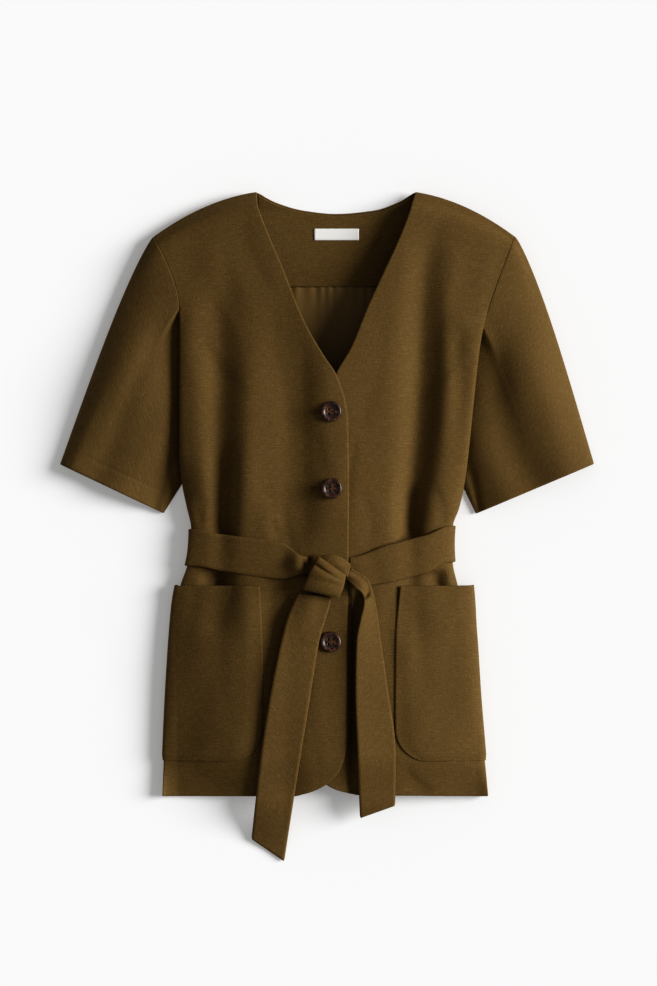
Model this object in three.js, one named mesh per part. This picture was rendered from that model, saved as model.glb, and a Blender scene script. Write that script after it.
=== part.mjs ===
// A belted short-sleeved blazer in linen blend, lying flat on its back. Millimetres, +Z up.
// +X is the image right, +Y runs from hem to neck, and Z is the height above the surface.
// Left and right mean the image's left and right. Every cloth piece is a thin wall on a grid.
import * as THREE from 'three';

// Walls and gaps
const CLOTH = 1.5;
const BELT_CLOTH = 2.0;
const LABEL_CLOTH = 1.0;
const SEAM_GAP = 0.5;
const LAYER_GAP = 0.6;

// The lie of the garment
const FLOOR = CLOTH / 2;
const FRONT_OVERLAP_LIFT = 3.2;
const SHOULDER_SEAM_Z = 10;
const SHOULDER_ROLL = 26;
const BACK_RISE = 22;
const BELT_GAP = 0.9;
const BELT_STAND = CLOTH / 2 + BELT_GAP + BELT_CLOTH / 2;
const BELT_LIFT = BELT_CLOTH / 2 + BELT_STAND - FLOOR;

// The crown of the fronts above the surface, from hem to shoulders. square is the exponent
// that makes the crown boxy, and soft is 0 where the side edge is a tight roll.
const CROWN = [
  { y: -300, z: 30, square: 6.0, soft: 0 },
  { y: -150, z: 34, square: 6.0, soft: 0 },
  { y: -60, z: 34, square: 5.0, soft: 0 },
  { y: -25, z: 32, square: 4.5, soft: 0 },
  { y: 30, z: 36, square: 5.0, soft: 0 },
  { y: 140, z: 42, square: 5.0, soft: 0 },
  { y: 215, z: 41, square: 4.5, soft: 0.1 },
  { y: 260, z: 37, square: 4.0, soft: 1 },
  { y: 320, z: 31, square: 3.0, soft: 1 },
  { y: 370, z: 26, square: 3.0, soft: 1 },
];

// The side edges. x and z are the edge as seen from above, roll is the radius that the cloth
// turns under with, turn is how far round it the front goes, and run is the flat stretch after.
const SIDE_LEFT = [
  { y: -296, x: -181, z: 9.75, roll: 9, turn: 90, run: 28 },
  { y: -226, x: -178, z: 9.75, roll: 9, turn: 90, run: 30 },
  { y: -147, x: -173, z: 9.75, roll: 9, turn: 90, run: 32 },
  { y: -92, x: -166.5, z: 9.75, roll: 9, turn: 90, run: 34 },
  { y: -64, x: -160.5, z: 9.75, roll: 9, turn: 90, run: 34 },
  { y: -44, x: -153.5, z: 9.75, roll: 9, turn: 90, run: 32 },
  { y: -25, x: -150, z: 9.75, roll: 9, turn: 90, run: 32 },
  { y: -5, x: -149, z: 9.75, roll: 9, turn: 90, run: 32 },
  { y: 23, x: -154.5, z: 9.75, roll: 9, turn: 90, run: 32 },
  { y: 42, x: -158.5, z: 11.5, roll: 9, turn: 90, run: 28 },
  { y: 62, x: -161, z: 17, roll: 9, turn: 90, run: 20 },
  { y: 84, x: -162, z: 23, roll: 9, turn: 90, run: 14 },
  { y: 139, x: -162, z: 28, roll: 9, turn: 90, run: 6 },
  { y: 194, x: -161.5, z: 29, roll: 8, turn: 75, run: 0 },
  { y: 221, x: -161.5, z: 29, roll: 7, turn: 45, run: 0 },
  { y: 248, x: -162.5, z: 28, roll: 6, turn: 10, run: 0 },
  { y: 269, x: -167.5, z: 26, roll: 5, turn: 0, run: 0 },
  { y: 295, x: -178, z: 22, roll: 5, turn: 0, run: 0 },
  { y: 319.5, x: -190, z: 17, roll: 5, turn: 0, run: 0 },
];
const SIDE_RIGHT = [
  { y: -296, x: 177, z: 9.75, roll: 9, turn: 90, run: 28 },
  { y: -255, x: 173, z: 9.75, roll: 9, turn: 90, run: 30 },
  { y: -191, x: 166, z: 9.75, roll: 9, turn: 90, run: 32 },
  { y: -136, x: 158.5, z: 9.75, roll: 9, turn: 90, run: 32 },
  { y: -92, x: 150, z: 9.75, roll: 9, turn: 90, run: 32 },
  { y: -64, x: 143, z: 9.75, roll: 9, turn: 90, run: 32 },
  { y: -41, x: 138, z: 9.75, roll: 9, turn: 90, run: 32 },
  { y: -20, x: 137, z: 9.75, roll: 9, turn: 90, run: 32 },
  { y: 0, x: 138, z: 9.75, roll: 9, turn: 90, run: 32 },
  { y: 20, x: 145, z: 10.5, roll: 9, turn: 90, run: 32 },
  { y: 42, x: 150, z: 15, roll: 9, turn: 90, run: 28 },
  { y: 62, x: 153, z: 19.5, roll: 9, turn: 90, run: 20 },
  { y: 84, x: 155.5, z: 24, roll: 9, turn: 90, run: 14 },
  { y: 139, x: 161, z: 28, roll: 9, turn: 90, run: 6 },
  { y: 181, x: 165.5, z: 29, roll: 8, turn: 80, run: 0 },
  { y: 206, x: 169, z: 29, roll: 7, turn: 33, run: 0 },
  { y: 236, x: 176, z: 28, roll: 6, turn: 0, run: 0 },
  { y: 262, x: 184.5, z: 26, roll: 5, turn: 0, run: 0 },
  { y: 290, x: 195, z: 22, roll: 5, turn: 0, run: 0 },
  { y: 319.5, x: 206, z: 17, roll: 5, turn: 0, run: 0 },
];

// The inner edges of the fronts, by the share of the way from hem to shoulder.
const EDGE_LEFT = [
  { v: 0, x: -34, y: -297.5 },
  { v: 0.015, x: -15.5, y: -292 },
  { v: 0.032, x: 0, y: -283.5 },
  { v: 0.055, x: 13, y: -269.5 },
  { v: 0.085, x: 19.5, y: -251 },
  { v: 0.12, x: 22.5, y: -230 },
  { v: 0.3, x: 22, y: -125 },
  { v: 0.44, x: 23, y: -37 },
  { v: 0.57, x: 23.5, y: 51 },
  { v: 0.67, x: 22.5, y: 119 },
  { v: 0.71, x: 18.5, y: 142 },
  { v: 0.75, x: 10, y: 166 },
  { v: 0.79, x: -4, y: 187.5 },
  { v: 0.845, x: -25, y: 224 },
  { v: 0.93, x: -53, y: 293 },
  { v: 0.97, x: -70, y: 333 },
  { v: 0.985, x: -77, y: 354 },
  { v: 1, x: -78, y: 368 },
];
const EDGE_RIGHT = [
  { v: 0, x: 35, y: -296.5 },
  { v: 0.015, x: 13, y: -291.5 },
  { v: 0.032, x: -2, y: -283 },
  { v: 0.055, x: -9, y: -268 },
  { v: 0.085, x: -12, y: -250 },
  { v: 0.12, x: -13, y: -230 },
  { v: 0.3, x: -13, y: -125 },
  { v: 0.57, x: -12, y: 51 },
  { v: 0.67, x: -5.5, y: 117 },
  { v: 0.74, x: 9.5, y: 166 },
  { v: 0.79, x: 27, y: 197 },
  { v: 0.855, x: 45.5, y: 242 },
  { v: 0.91, x: 64, y: 282 },
  { v: 0.955, x: 80, y: 317 },
  { v: 0.985, x: 92, y: 348 },
  { v: 1, x: 97.5, y: 368 },
];

// The shoulder line seen from above, and the back neck that dips between the neck points.
const SHOULDER_LINE = [
  { x: -215, y: 303 },
  { x: -190, y: 319.5 },
  { x: -155, y: 341 },
  { x: -118, y: 358 },
  { x: -91, y: 366.5 },
  { x: -78, y: 368.5 },
  { x: 97.5, y: 368.5 },
  { x: 125.5, y: 359.5 },
  { x: 152, y: 349.5 },
  { x: 179, y: 337 },
  { x: 206, y: 319.5 },
  { x: 230, y: 303 },
];
const BACK_NECK = [
  { x: -78, y: 368.5 },
  { x: -54, y: 356.5 },
  { x: -25, y: 348.5 },
  { x: 10, y: 345 },
  { x: 53, y: 349 },
  { x: 77, y: 357 },
  { x: 97.5, y: 368.5 },
];

// The large soft folds of the fronts: a negative depth is a trough and a positive one a ridge.
const FOLDS = [
  [
    { y: 285, x: -112, wide: 20, depth: 0 },
    { y: 225, x: -118, wide: 20, depth: -6 },
    { y: 120, x: -117, wide: 18, depth: -9 },
    { y: 0, x: -115, wide: 12, depth: -9 },
    { y: -60, x: -116, wide: 14, depth: -7 },
    { y: -130, x: -118, wide: 18, depth: 0 },
  ],
  [
    { y: 345, x: 112, wide: 16, depth: 0 },
    { y: 270, x: 106, wide: 18, depth: -6 },
    { y: 120, x: 100, wide: 18, depth: -9 },
    { y: 0, x: 91, wide: 12, depth: -9 },
    { y: -60, x: 92, wide: 14, depth: -7 },
    { y: -140, x: 96, wide: 18, depth: 0 },
  ],
  [
    { y: 230, x: 140, wide: 10, depth: 0 },
    { y: 160, x: 146, wide: 11, depth: -3 },
    { y: 60, x: 140, wide: 10, depth: 0 },
  ],
  [
    { y: 200, x: -88, wide: 16, depth: 0 },
    { y: 60, x: -88, wide: 14, depth: 2.5 },
    { y: -20, x: -92, wide: 12, depth: 0 },
  ],
];

// The belt's upper and lower edges across the body, and the outlines of its two tails.
const BELT = [
  { x: -160, top: -4, low: -43.5 },
  { x: -111, top: -10, low: -49.5 },
  { x: -73, top: -15, low: -55.5 },
  { x: -48, top: -19.5, low: -57.5 },
  { x: -24, top: -34, low: -52 },
  { x: 24, top: -35, low: -66 },
  { x: 66, top: -21.5, low: -61.5 },
  { x: 104, top: -11.5, low: -52 },
  { x: 150, top: 0, low: -39 },
];
// stand is how far the tail's middle lies above the front's: more where it crosses the belt.
const TAIL_LEFT = [
  { y: -78, left: -33, right: 3, stand: 3.4 },
  { y: -100, left: -43, right: -0.5, stand: 3 },
  { y: -127, left: -49.5, right: -9.5, stand: 2.8 },
  { y: -191, left: -62.5, right: -20, stand: 2.8 },
  { y: -256, left: -73, right: -31, stand: 3.1 },
  { y: -310, left: -79, right: -39.5, stand: 3.1 },
  { y: -356.5, left: -83.5, right: -46, stand: 2.8 },
];
const TAIL_RIGHT = [
  { y: -50, left: 27, right: 33, stand: 5.8 },
  { y: -54, left: 27, right: 38, stand: 5.8 },
  { y: -59, left: 28, right: 44, stand: 5.8 },
  { y: -66, left: 32, right: 47.5, stand: 5.6 },
  { y: -74, left: 38, right: 50.5, stand: 5.2 },
  { y: -83, left: 40, right: 52.5, stand: 3.9 },
  { y: -101, left: 37.5, right: 55.5, stand: 2.8 },
  { y: -127, left: 33, right: 59, stand: 2.6 },
  { y: -165, left: 31.5, right: 64, stand: 2.6 },
  { y: -230, left: 33.5, right: 72.5, stand: 2.6 },
  { y: -256, left: 34.5, right: 74.5, stand: 2.6 },
  { y: -314, left: 37, right: 74.5, stand: 2.6 },
];
const TAIL_TIP_LEFT = 24;
const TAIL_TIP_RIGHT = 14;

// Pockets: the mouth's and the bottom's places, the inner edge, and the outer edge's stand-off.
const POCKET_TOP = -66;
const POCKET_LOW = -258;
const POCKET_CORNER = 34;
const POCKET_STAND = LAYER_GAP + CLOTH;
const POCKET_LEFT = [
  { y: -258, inner: -72, aside: 0 },
  { y: -150, inner: -71, aside: 1 },
  { y: -66, inner: -74.5, aside: 5 },
];
const POCKET_RIGHT = [
  { y: -258, inner: 76, aside: 0 },
  { y: -200, inner: 75, aside: 1.5 },
  { y: -120, inner: 76, aside: 8 },
  { y: -66, inner: 80.5, aside: 17 },
];

// The sleeves: cuff corners, the bow of the outer edge, and the crown of the upper wall.
const CUFF_LEFT = { outer: [-294, 68.5], inner: [-181, 15], crown: 17 };
const CUFF_RIGHT = { outer: [294, 69], inner: [165, 14.5], crown: 17 };
const CUFF_EDGE_Z = 4;
const SLEEVE_BOW = 7;
const SLEEVE_CROWN = 9;

// What shows inside the neck.
const FACING_LOW = 264.5;
const LINING_LOW = 120;
const LABEL = { x: 10.5, y: 322, wide: 49, high: 12.5 };

// Buttons
const BUTTON_PLACES = [[4.5, 126], [5, 41.5], [4.5, -43], [4, -127]];
const BUTTON_RADIUS = 11.4;
const BUTTON_THICK = 3.6;
const BUTTON_BEVEL = 0.6;
const BUTTON_HOLE = 1.5;
const BUTTON_HOLE_REACH = 3.2;

// The knot: a flattened band of belt cloth folded round the crossing.
const KNOT = { x: -3, y: -53, wide: 52, high: 43, deep: 14, lean: -12 };

// Grid sizes
const ROWS = 26;
const ACROSS = 20;
const ROLL_STEPS = 4;
const UNDER_STEPS = ROLL_STEPS + 1;

const mix = (a, b, t) => a + (b - a) * t;
const clamp = (t) => Math.min(1, Math.max(0, t));
const smooth = (t) => clamp(t) ** 2 * (3 - 2 * clamp(t));

// Reads a table by its first column with smooth joints between the rows.
function read(rows, key, at, name) {
  const ascending = rows[rows.length - 1][key] > rows[0][key];
  const list = ascending ? rows : [...rows].reverse();
  const last = list.length - 1;
  if (at <= list[0][key]) return list[0][name];
  if (at >= list[last][key]) return list[last][name];
  let i = 0;
  while (at > list[i + 1][key]) i += 1;
  const slope = (j) => {
    if (j === 0 || j === last) return 0;
    const before = (list[j][name] - list[j - 1][name]) / (list[j][key] - list[j - 1][key]);
    const after = (list[j + 1][name] - list[j][name]) / (list[j + 1][key] - list[j][key]);
    return before * after <= 0 ? 0 : (2 * before * after) / (before + after);
  };
  const end = (j, other) => {
    if (j !== 0 && j !== last) return slope(j);
    return (list[other][name] - list[j][name]) / (list[other][key] - list[j][key]);
  };
  const span = list[i + 1][key] - list[i][key];
  const t = (at - list[i][key]) / span;
  const m0 = end(i, i + 1) * span;
  const m1 = end(i + 1, i) * span;
  const a = list[i][name];
  const b = list[i + 1][name];
  return (2 * t ** 3 - 3 * t ** 2 + 1) * a + (t ** 3 - 2 * t ** 2 + t) * m0
    + (-2 * t ** 3 + 3 * t ** 2) * b + (t ** 3 - t ** 2) * m1;
}

// The flat middle of the stretch that the belt raises, and how far it takes to come down.
const BELT_LIFT_FLAT = 34;
const BELT_LIFT_EASE = 30;
const beltMiddle = (x) => (read(BELT, 'x', x, 'top') + read(BELT, 'x', x, 'low')) / 2;

// How far the underside is raised where the belt passes beneath it.
function beltLift(y) {
  const away = Math.abs(y - beltMiddle(-160));
  return BELT_LIFT * (1 - smooth((away - BELT_LIFT_FLAT) / BELT_LIFT_EASE));
}

// The sides at a height of the garment, with the belt's lift under them.
function sideAt(table, y) {
  const edge = { y };
  for (const name of ['x', 'z', 'roll', 'turn', 'run']) edge[name] = read(table, 'y', y, name);
  edge.z += beltLift(y);
  return edge;
}

// The fronts' height over a plan point, before the left front is lifted over the right one.
function frontHeight(x, y) {
  const left = sideAt(SIDE_LEFT, y);
  const right = sideAt(SIDE_RIGHT, y);
  const across = clamp((x - left.x) / (right.x - left.x));
  const edgeZ = mix(left.z, right.z, across);
  const square = read(CROWN, 'y', y, 'square');
  const soft = read(CROWN, 'y', y, 'soft');
  const body = Math.max(0, 1 - Math.abs(2 * across - 1) ** square);
  const crown = body ** mix(0.5, 1, soft);
  let z = mix(edgeZ, read(CROWN, 'y', y, 'z'), crown);
  for (const fold of FOLDS) {
    const low = Math.min(fold[0].y, fold[fold.length - 1].y);
    const high = Math.max(fold[0].y, fold[fold.length - 1].y);
    if (y <= low || y >= high) continue;
    const away = (x - read(fold, 'y', y, 'x')) / read(fold, 'y', y, 'wide');
    z += read(fold, 'y', y, 'depth') * Math.exp(-away * away);
  }
  const fromShoulder = clamp((read(SHOULDER_LINE, 'x', x, 'y') - y) / SHOULDER_ROLL);
  const rolled = Math.sqrt(Math.max(0, 1 - (1 - fromShoulder) ** 2));
  return mix(SHOULDER_SEAM_Z + 1.2, z, rolled);
}

// A point on the side's roll, a share of the way round it from the seen edge, and then as far
// straight on from there as run says.
function underPoint(edge, toward, share, run) {
  const angle = (share * edge.turn * Math.PI) / 180;
  return new THREE.Vector3(
    edge.x + toward * (edge.roll * (1 - Math.cos(angle)) + run * Math.sin(angle)),
    edge.y,
    edge.z - edge.roll * Math.sin(angle) - run * Math.cos(angle),
  );
}

// The direction out of a grid's top skin at one of its points, from the points round it.
function gridNormal(grid, i, j, closed = false) {
  const columns = grid[0].length;
  const at = (row, column) => grid[row][closed ? (column + columns) % columns : column];
  const [i0, i1] = [Math.max(0, i - 1), Math.min(grid.length - 1, i + 1)];
  const j0 = closed ? j - 1 : Math.max(0, j - 1);
  const j1 = closed ? j + 1 : Math.min(columns - 1, j + 1);
  const across = at(i, j1).clone().sub(at(i, j0)).normalize();
  const up = at(i1, j).clone().sub(at(i0, j)).normalize();
  return across.cross(up).normalize();
}

// A grid moved off itself along its normals.
function movedOut(grid, out) {
  return grid.map((row, i) => row.map((point, j) => (
    point.clone().addScaledVector(gridNormal(grid, i, j), out)
  )));
}

// The point of a grid's column at a given y, and between columns where the index isn't whole.
function onColumn(grid, column, y) {
  let i = 0;
  while (i < grid.length - 2 && grid[i + 1][column].y < y) i += 1;
  const [low, high] = [grid[i][column], grid[i + 1][column]];
  return low.clone().lerp(high, clamp((y - low.y) / (high.y - low.y)));
}
function onGrid(grid, column, y) {
  const whole = Math.min(Math.floor(column), grid[0].length - 2);
  return onColumn(grid, whole, y).lerp(onColumn(grid, whole + 1, y), column - whole);
}

// The column of a grid, not always a whole one, that passes a plan point.
function columnAt(grid, x, y, from) {
  let j = from;
  const step = Math.sign(onColumn(grid, from + 1, y).x - onColumn(grid, from, y).x);
  while (j < grid[0].length - 2 && (onColumn(grid, j + 1, y).x - x) * step < 0) j += 1;
  const [a, b] = [onColumn(grid, j, y).x, onColumn(grid, j + 1, y).x];
  return j + clamp((x - a) / (b - a));
}

// A wall of the given thickness on a grid of points, as one closed mesh. The first index runs
// along rows, and faces are turned so that the normal of u cross v points out of the top skin.
function wall(grid, thickness, closed = false) {
  const rows = grid.length;
  const columns = grid[0].length;
  const points = [];
  for (const side of [0.5, -0.5]) {
    for (let i = 0; i < rows; i += 1) {
      for (let j = 0; j < columns; j += 1) {
        const out = gridNormal(grid, i, j, closed);
        points.push(grid[i][j].clone().addScaledVector(out, side * thickness));
      }
    }
  }
  const back = rows * columns;
  const id = (i, j) => i * columns + (closed ? (j + columns) % columns : j);
  const faces = [];
  const quad = (a, b, c, d) => faces.push(a, b, c, a, c, d);
  const spans = closed ? columns : columns - 1;
  for (let i = 0; i < rows - 1; i += 1) {
    for (let j = 0; j < spans; j += 1) {
      const [a, b, c, d] = [id(i, j), id(i, j + 1), id(i + 1, j + 1), id(i + 1, j)];
      quad(a, b, c, d);
      quad(back + a, back + d, back + c, back + b);
    }
  }
  for (let j = 0; j < spans; j += 1) {
    const low = [id(0, j), id(0, j + 1)];
    const high = [id(rows - 1, j), id(rows - 1, j + 1)];
    quad(low[0], back + low[0], back + low[1], low[1]);
    quad(high[1], back + high[1], back + high[0], high[0]);
  }
  for (let i = 0; i < rows - 1 && !closed; i += 1) {
    const first = [id(i, 0), id(i + 1, 0)];
    const final = [id(i, columns - 1), id(i + 1, columns - 1)];
    quad(first[1], back + first[1], back + first[0], first[0]);
    quad(final[0], back + final[0], back + final[1], final[1]);
  }
  const geometry = new THREE.BufferGeometry();
  const flat = points.flatMap((p) => [p.x, p.y, p.z]);
  geometry.setAttribute('position', new THREE.Float32BufferAttribute(flat, 3));
  geometry.setIndex(faces);
  geometry.computeVertexNormals();
  return geometry;
}

// The least stretch past the roll, which keeps the seam's edge apart from the roll's end.
const SEAM_END = 2;
const LEAST_TURN = 20;
const UNDERARM_Y = 84;
const SHOULDER_POINT_Y = 319.5;
const HEM_Y = -296;

// The rows of the fronts, with one row exactly at the underarm.
const UNDERARM_ROW = Math.round((ROWS * (UNDERARM_Y - HEM_Y)) / (SHOULDER_POINT_Y - HEM_Y));
function rowHeight(i) {
  if (i <= UNDERARM_ROW) return mix(HEM_Y, UNDERARM_Y, i / UNDERARM_ROW);
  return mix(UNDERARM_Y, SHOULDER_POINT_Y, (i - UNDERARM_ROW) / (ROWS - UNDERARM_ROW));
}

// One front as rows of points from the side seam or armhole, round the roll, to the inner edge.
function frontGrid(sideTable, edgeTable, toward, lift) {
  const grid = [];
  for (let i = 0; i <= ROWS; i += 1) {
    const y = rowHeight(i);
    const v = (y - HEM_Y) / (SHOULDER_POINT_Y - HEM_Y);
    const side = sideAt(sideTable, y);
    const endX = read(edgeTable, 'v', v, 'x');
    const endY = read(edgeTable, 'v', v, 'y');
    const row = [];
    if (side.turn > LEAST_TURN) {
      row.push(underPoint(side, toward, 1, side.run + SEAM_END));
      for (let k = ROLL_STEPS; k > 0; k -= 1) row.push(underPoint(side, toward, k / ROLL_STEPS, 0));
    } else {
      for (let k = UNDER_STEPS; k > 0; k -= 1) row.push(null);
    }
    for (let j = 0; j <= ACROSS; j += 1) {
      const w = (j / ACROSS) ** 1.35;
      const bow = 4 * w * (1 - w) * 8 * smooth((v - 0.82) / 0.18);
      const x = mix(side.x, endX, w);
      const plan = mix(side.y, endY, w) + bow;
      row.push(new THREE.Vector3(x, plan, frontHeight(x, plan) + lift(x)));
    }
    grid.push(row);
  }
  // Above the last tuck the rows have no roll: their first stretch is shared out instead.
  for (const row of grid) {
    if (row[0]) continue;
    const [start, next] = [row[UNDER_STEPS], row[UNDER_STEPS + 1]];
    const share = (next.clone().sub(start)).multiplyScalar(0.7 / (UNDER_STEPS + 1));
    for (let k = 0; k <= UNDER_STEPS; k += 1) row[k] = start.clone().addScaledVector(share, k);
  }
  return grid;
}

const leftLift = (x) => FRONT_OVERLAP_LIFT * smooth((x + 50) / 36);
const gridLeft = frontGrid(SIDE_LEFT, EDGE_LEFT, 1, leftLift);
const gridRight = frontGrid(SIDE_RIGHT, EDGE_RIGHT, -1, () => 0);

// The back's height: flat on the surface, over the belt, and up to the shoulder seam.
function backHeight(x, y) {
  const near = clamp(1 - (read(SHOULDER_LINE, 'x', x, 'y') - y) / BACK_RISE);
  return FLOOR + beltLift(y) + (SHOULDER_SEAM_Z - 1.2 - FLOOR) * near ** 2;
}

// Where the back ends at its side: at the front's seam below the underarm, and at its own
// armhole above it, which comes down to the surface a little way up.
function backEnd(sideTable, toward, y) {
  const side = sideAt(sideTable, y);
  const seam = underPoint(side, toward, 1, side.run + SEAM_END);
  if (y <= UNDERARM_Y) return seam.clone().setX(seam.x + toward * 2 * SEAM_GAP);
  const lowest = sideAt(sideTable, UNDERARM_Y);
  const underarm = underPoint(lowest, toward, 1, lowest.run + SEAM_END);
  const up = (y - UNDERARM_Y) / (SHOULDER_POINT_Y - UNDERARM_Y);
  const point = sideAt(sideTable, SHOULDER_POINT_Y);
  const x = mix(underarm.x + toward * SEAM_GAP, point.x + toward * 1.5, smooth(up) ** 1.3);
  const z = mix(underarm.z, backHeight(x, y), smooth(up / 0.16));
  return new THREE.Vector3(x, y, Math.max(z, backHeight(x, y)));
}

const BACK_HALF = 8;
const BACK_EDGE = 26;
function backGrid() {
  const grid = [];
  for (let i = 0; i <= ROWS; i += 1) {
    const y = rowHeight(i);
    const v = (y - HEM_Y) / (SHOULDER_POINT_Y - HEM_Y);
    const ends = [backEnd(SIDE_LEFT, 1, y), backEnd(SIDE_RIGHT, -1, y)];
    const row = [];
    for (let j = 0; j <= 2 * BACK_HALF; j += 1) {
      const share = j / (2 * BACK_HALF);
      const x = mix(ends[0].x, ends[1].x, share + 0.045 * Math.sin(2 * Math.PI * share) * -1);
      const top = x < -78 || x > 97.5
        ? read(SHOULDER_LINE, 'x', x, 'y') : read(BACK_NECK, 'x', x, 'y');
      const rise = smooth((v - 0.72) / 0.28);
      const plan = mix(y, top - 0.8, rise * (top - 0.8 > y ? 1 : 0) * (v >= 1 ? 1 : rise));
      const near = Math.min(Math.abs(x - ends[0].x), Math.abs(x - ends[1].x));
      const end = share < 0.5 ? ends[0] : ends[1];
      const flat = backHeight(x, plan);
      const lift = Math.max(0, end.z - backHeight(end.x, y)) * clamp(1 - near / BACK_EDGE) ** 2;
      row.push(new THREE.Vector3(x, plan, flat + lift));
    }
    grid.push(row);
  }
  return grid;
}
const gridBack = backGrid();

// The loop that a sleeve is sewn to: down the front's armhole edge, then up the back's.
const SLEEVE_ROWS = ROWS - UNDERARM_ROW;
function armhole(frontRows, backColumn, toward) {
  const loop = [];
  for (let i = ROWS; i >= UNDERARM_ROW; i -= 1) {
    const edge = frontRows[i][0];
    const next = frontRows[i][1];
    const y = rowHeight(i);
    const turned = clamp((sideAt(toward > 0 ? SIDE_LEFT : SIDE_RIGHT, y).turn - LEAST_TURN) / 12);
    const away = edge.clone().sub(next).normalize();
    const down = new THREE.Vector3(-away.z * toward, 0, away.x * toward);
    if (down.z > 0) down.negate();
    const start = edge.clone().addScaledVector(away, i === UNDERARM_ROW ? -2 * SEAM_GAP : 1.7 * SEAM_GAP);
    start.z -= turned * LAYER_GAP;
    loop.push(start.addScaledVector(down, turned * (CLOTH + LAYER_GAP)));
  }
  for (let i = UNDERARM_ROW + 1; i < ROWS; i += 1) {
    const edge = gridBack[i][backColumn];
    loop.push(new THREE.Vector3(edge.x - toward * 2 * SEAM_GAP, edge.y, edge.z));
  }
  return loop;
}

// How high a sleeve's upper wall may lie: beneath the body's rolled edge, and then rising from
// there at a gentle slope. The limit fades where the seam shows and nothing rolls over it.
const HIDDEN_GAP = CLOTH + 2.4 * LAYER_GAP;
const HIDDEN_SLOPE = 0.55;
const FREE_HEIGHT = 15;
function underBody(sideTable, toward, x, y) {
  const side = sideAt(sideTable, y);
  const inside = toward * (x - side.x);
  const reach = side.roll + HIDDEN_GAP;
  const back = clamp((side.roll - inside) / side.roll) * side.roll;
  const free = FREE_HEIGHT * (1 - clamp((side.turn - 35) / 25));
  const rising = HIDDEN_SLOPE * Math.max(0, -inside);
  return side.z - Math.sqrt(reach * reach - back * back) + rising + free;
}

// A sleeve is lofted from the armhole loop to the cuff's flattened oval.
const SLEEVE_STEPS = 9;
function sleeveGrid(loop, cuff, sideTable, toward) {
  const count = loop.length;
  const rows = [];
  for (let k = 0; k <= SLEEVE_STEPS; k += 1) {
    const v = (k / SLEEVE_STEPS) ** 1.35;
    const row = [];
    for (let j = 0; j < count; j += 1) {
      const upper = j <= SLEEVE_ROWS;
      const share = upper ? j / SLEEVE_ROWS : 1 + (j - SLEEVE_ROWS) / (count - SLEEVE_ROWS);
      const turn = Math.PI * share;
      const width = (1 - Math.cos(turn)) / 2;
      const rise = Math.abs(Math.sin(turn));
      const cuffZ = upper
        ? CUFF_EDGE_Z + cuff.crown * rise ** 0.7
        : FLOOR + (CUFF_EDGE_Z - FLOOR) * (1 - rise ** 0.4);
      const end = new THREE.Vector3(
        mix(cuff.outer[0], cuff.inner[0], width),
        mix(cuff.outer[1], cuff.inner[1], width),
        cuffZ,
      );
      const point = loop[j].clone().lerp(end, v);
      const bow = SLEEVE_BOW * Math.sin(Math.PI * v ** 0.6) * (1 - width) ** 2;
      point.x -= toward * bow;
      if (upper) point.z = mix(loop[j].z, end.z, v ** 1.7);
      if (upper) point.z += SLEEVE_CROWN * Math.sin(Math.PI * v) ** 2 * rise;
      if (!upper) point.z = mix(loop[j].z, end.z, smooth(v * 3));
      if (upper && k > 0) point.z = Math.min(point.z, underBody(sideTable, toward, point.x, point.y));
      row.push(point);
    }
    rows.push(row);
  }
  return rows;
}

// A pocket is made from the front's own points, moved out, from partway round the side's roll
// to the pocket's inner edge. Its outer edge stands off the side as the photograph shows.
const POCKET_FIRST = 3;
const POCKET_WHOLE = 6;
const POCKET_INNER = 7;
function pocketGrid(frontRows, table, toward) {
  const out = movedOut(frontRows, toward * POCKET_STAND);
  const inside = (y) => y > POCKET_LOW + 1 && y < POCKET_TOP - 1;
  const corner = [0.06, 0.25, 0.55].map((share) => POCKET_LOW + share * POCKET_CORNER);
  const between = frontRows.map((row) => row[UNDER_STEPS].y).filter(inside);
  const above = between.filter((y) => y > POCKET_LOW + 0.75 * POCKET_CORNER);
  const grid = [];
  for (const y of [POCKET_LOW, ...corner, ...above, POCKET_TOP]) {
    const short = 1 - clamp((y - POCKET_LOW) / POCKET_CORNER);
    const inset = POCKET_CORNER * (1 - Math.sqrt(1 - short * short));
    const inner = columnAt(out, read(table, 'y', y, 'inner') - toward * inset, y, UNDER_STEPS + 1);
    const columns = [];
    for (let j = POCKET_FIRST; j < UNDER_STEPS + POCKET_WHOLE; j += 1) columns.push(j);
    for (let k = 0; k <= POCKET_INNER; k += 1) {
      columns.push(mix(UNDER_STEPS + POCKET_WHOLE, inner, k / POCKET_INNER));
    }
    const aside = read(table, 'y', y, 'aside');
    grid.push(columns.map((column) => {
      const point = onGrid(out, column, y);
      point.x -= toward * aside * (1 - smooth((column - 4) / 9));
      return point;
    }));
  }
  return grid;
}

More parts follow.
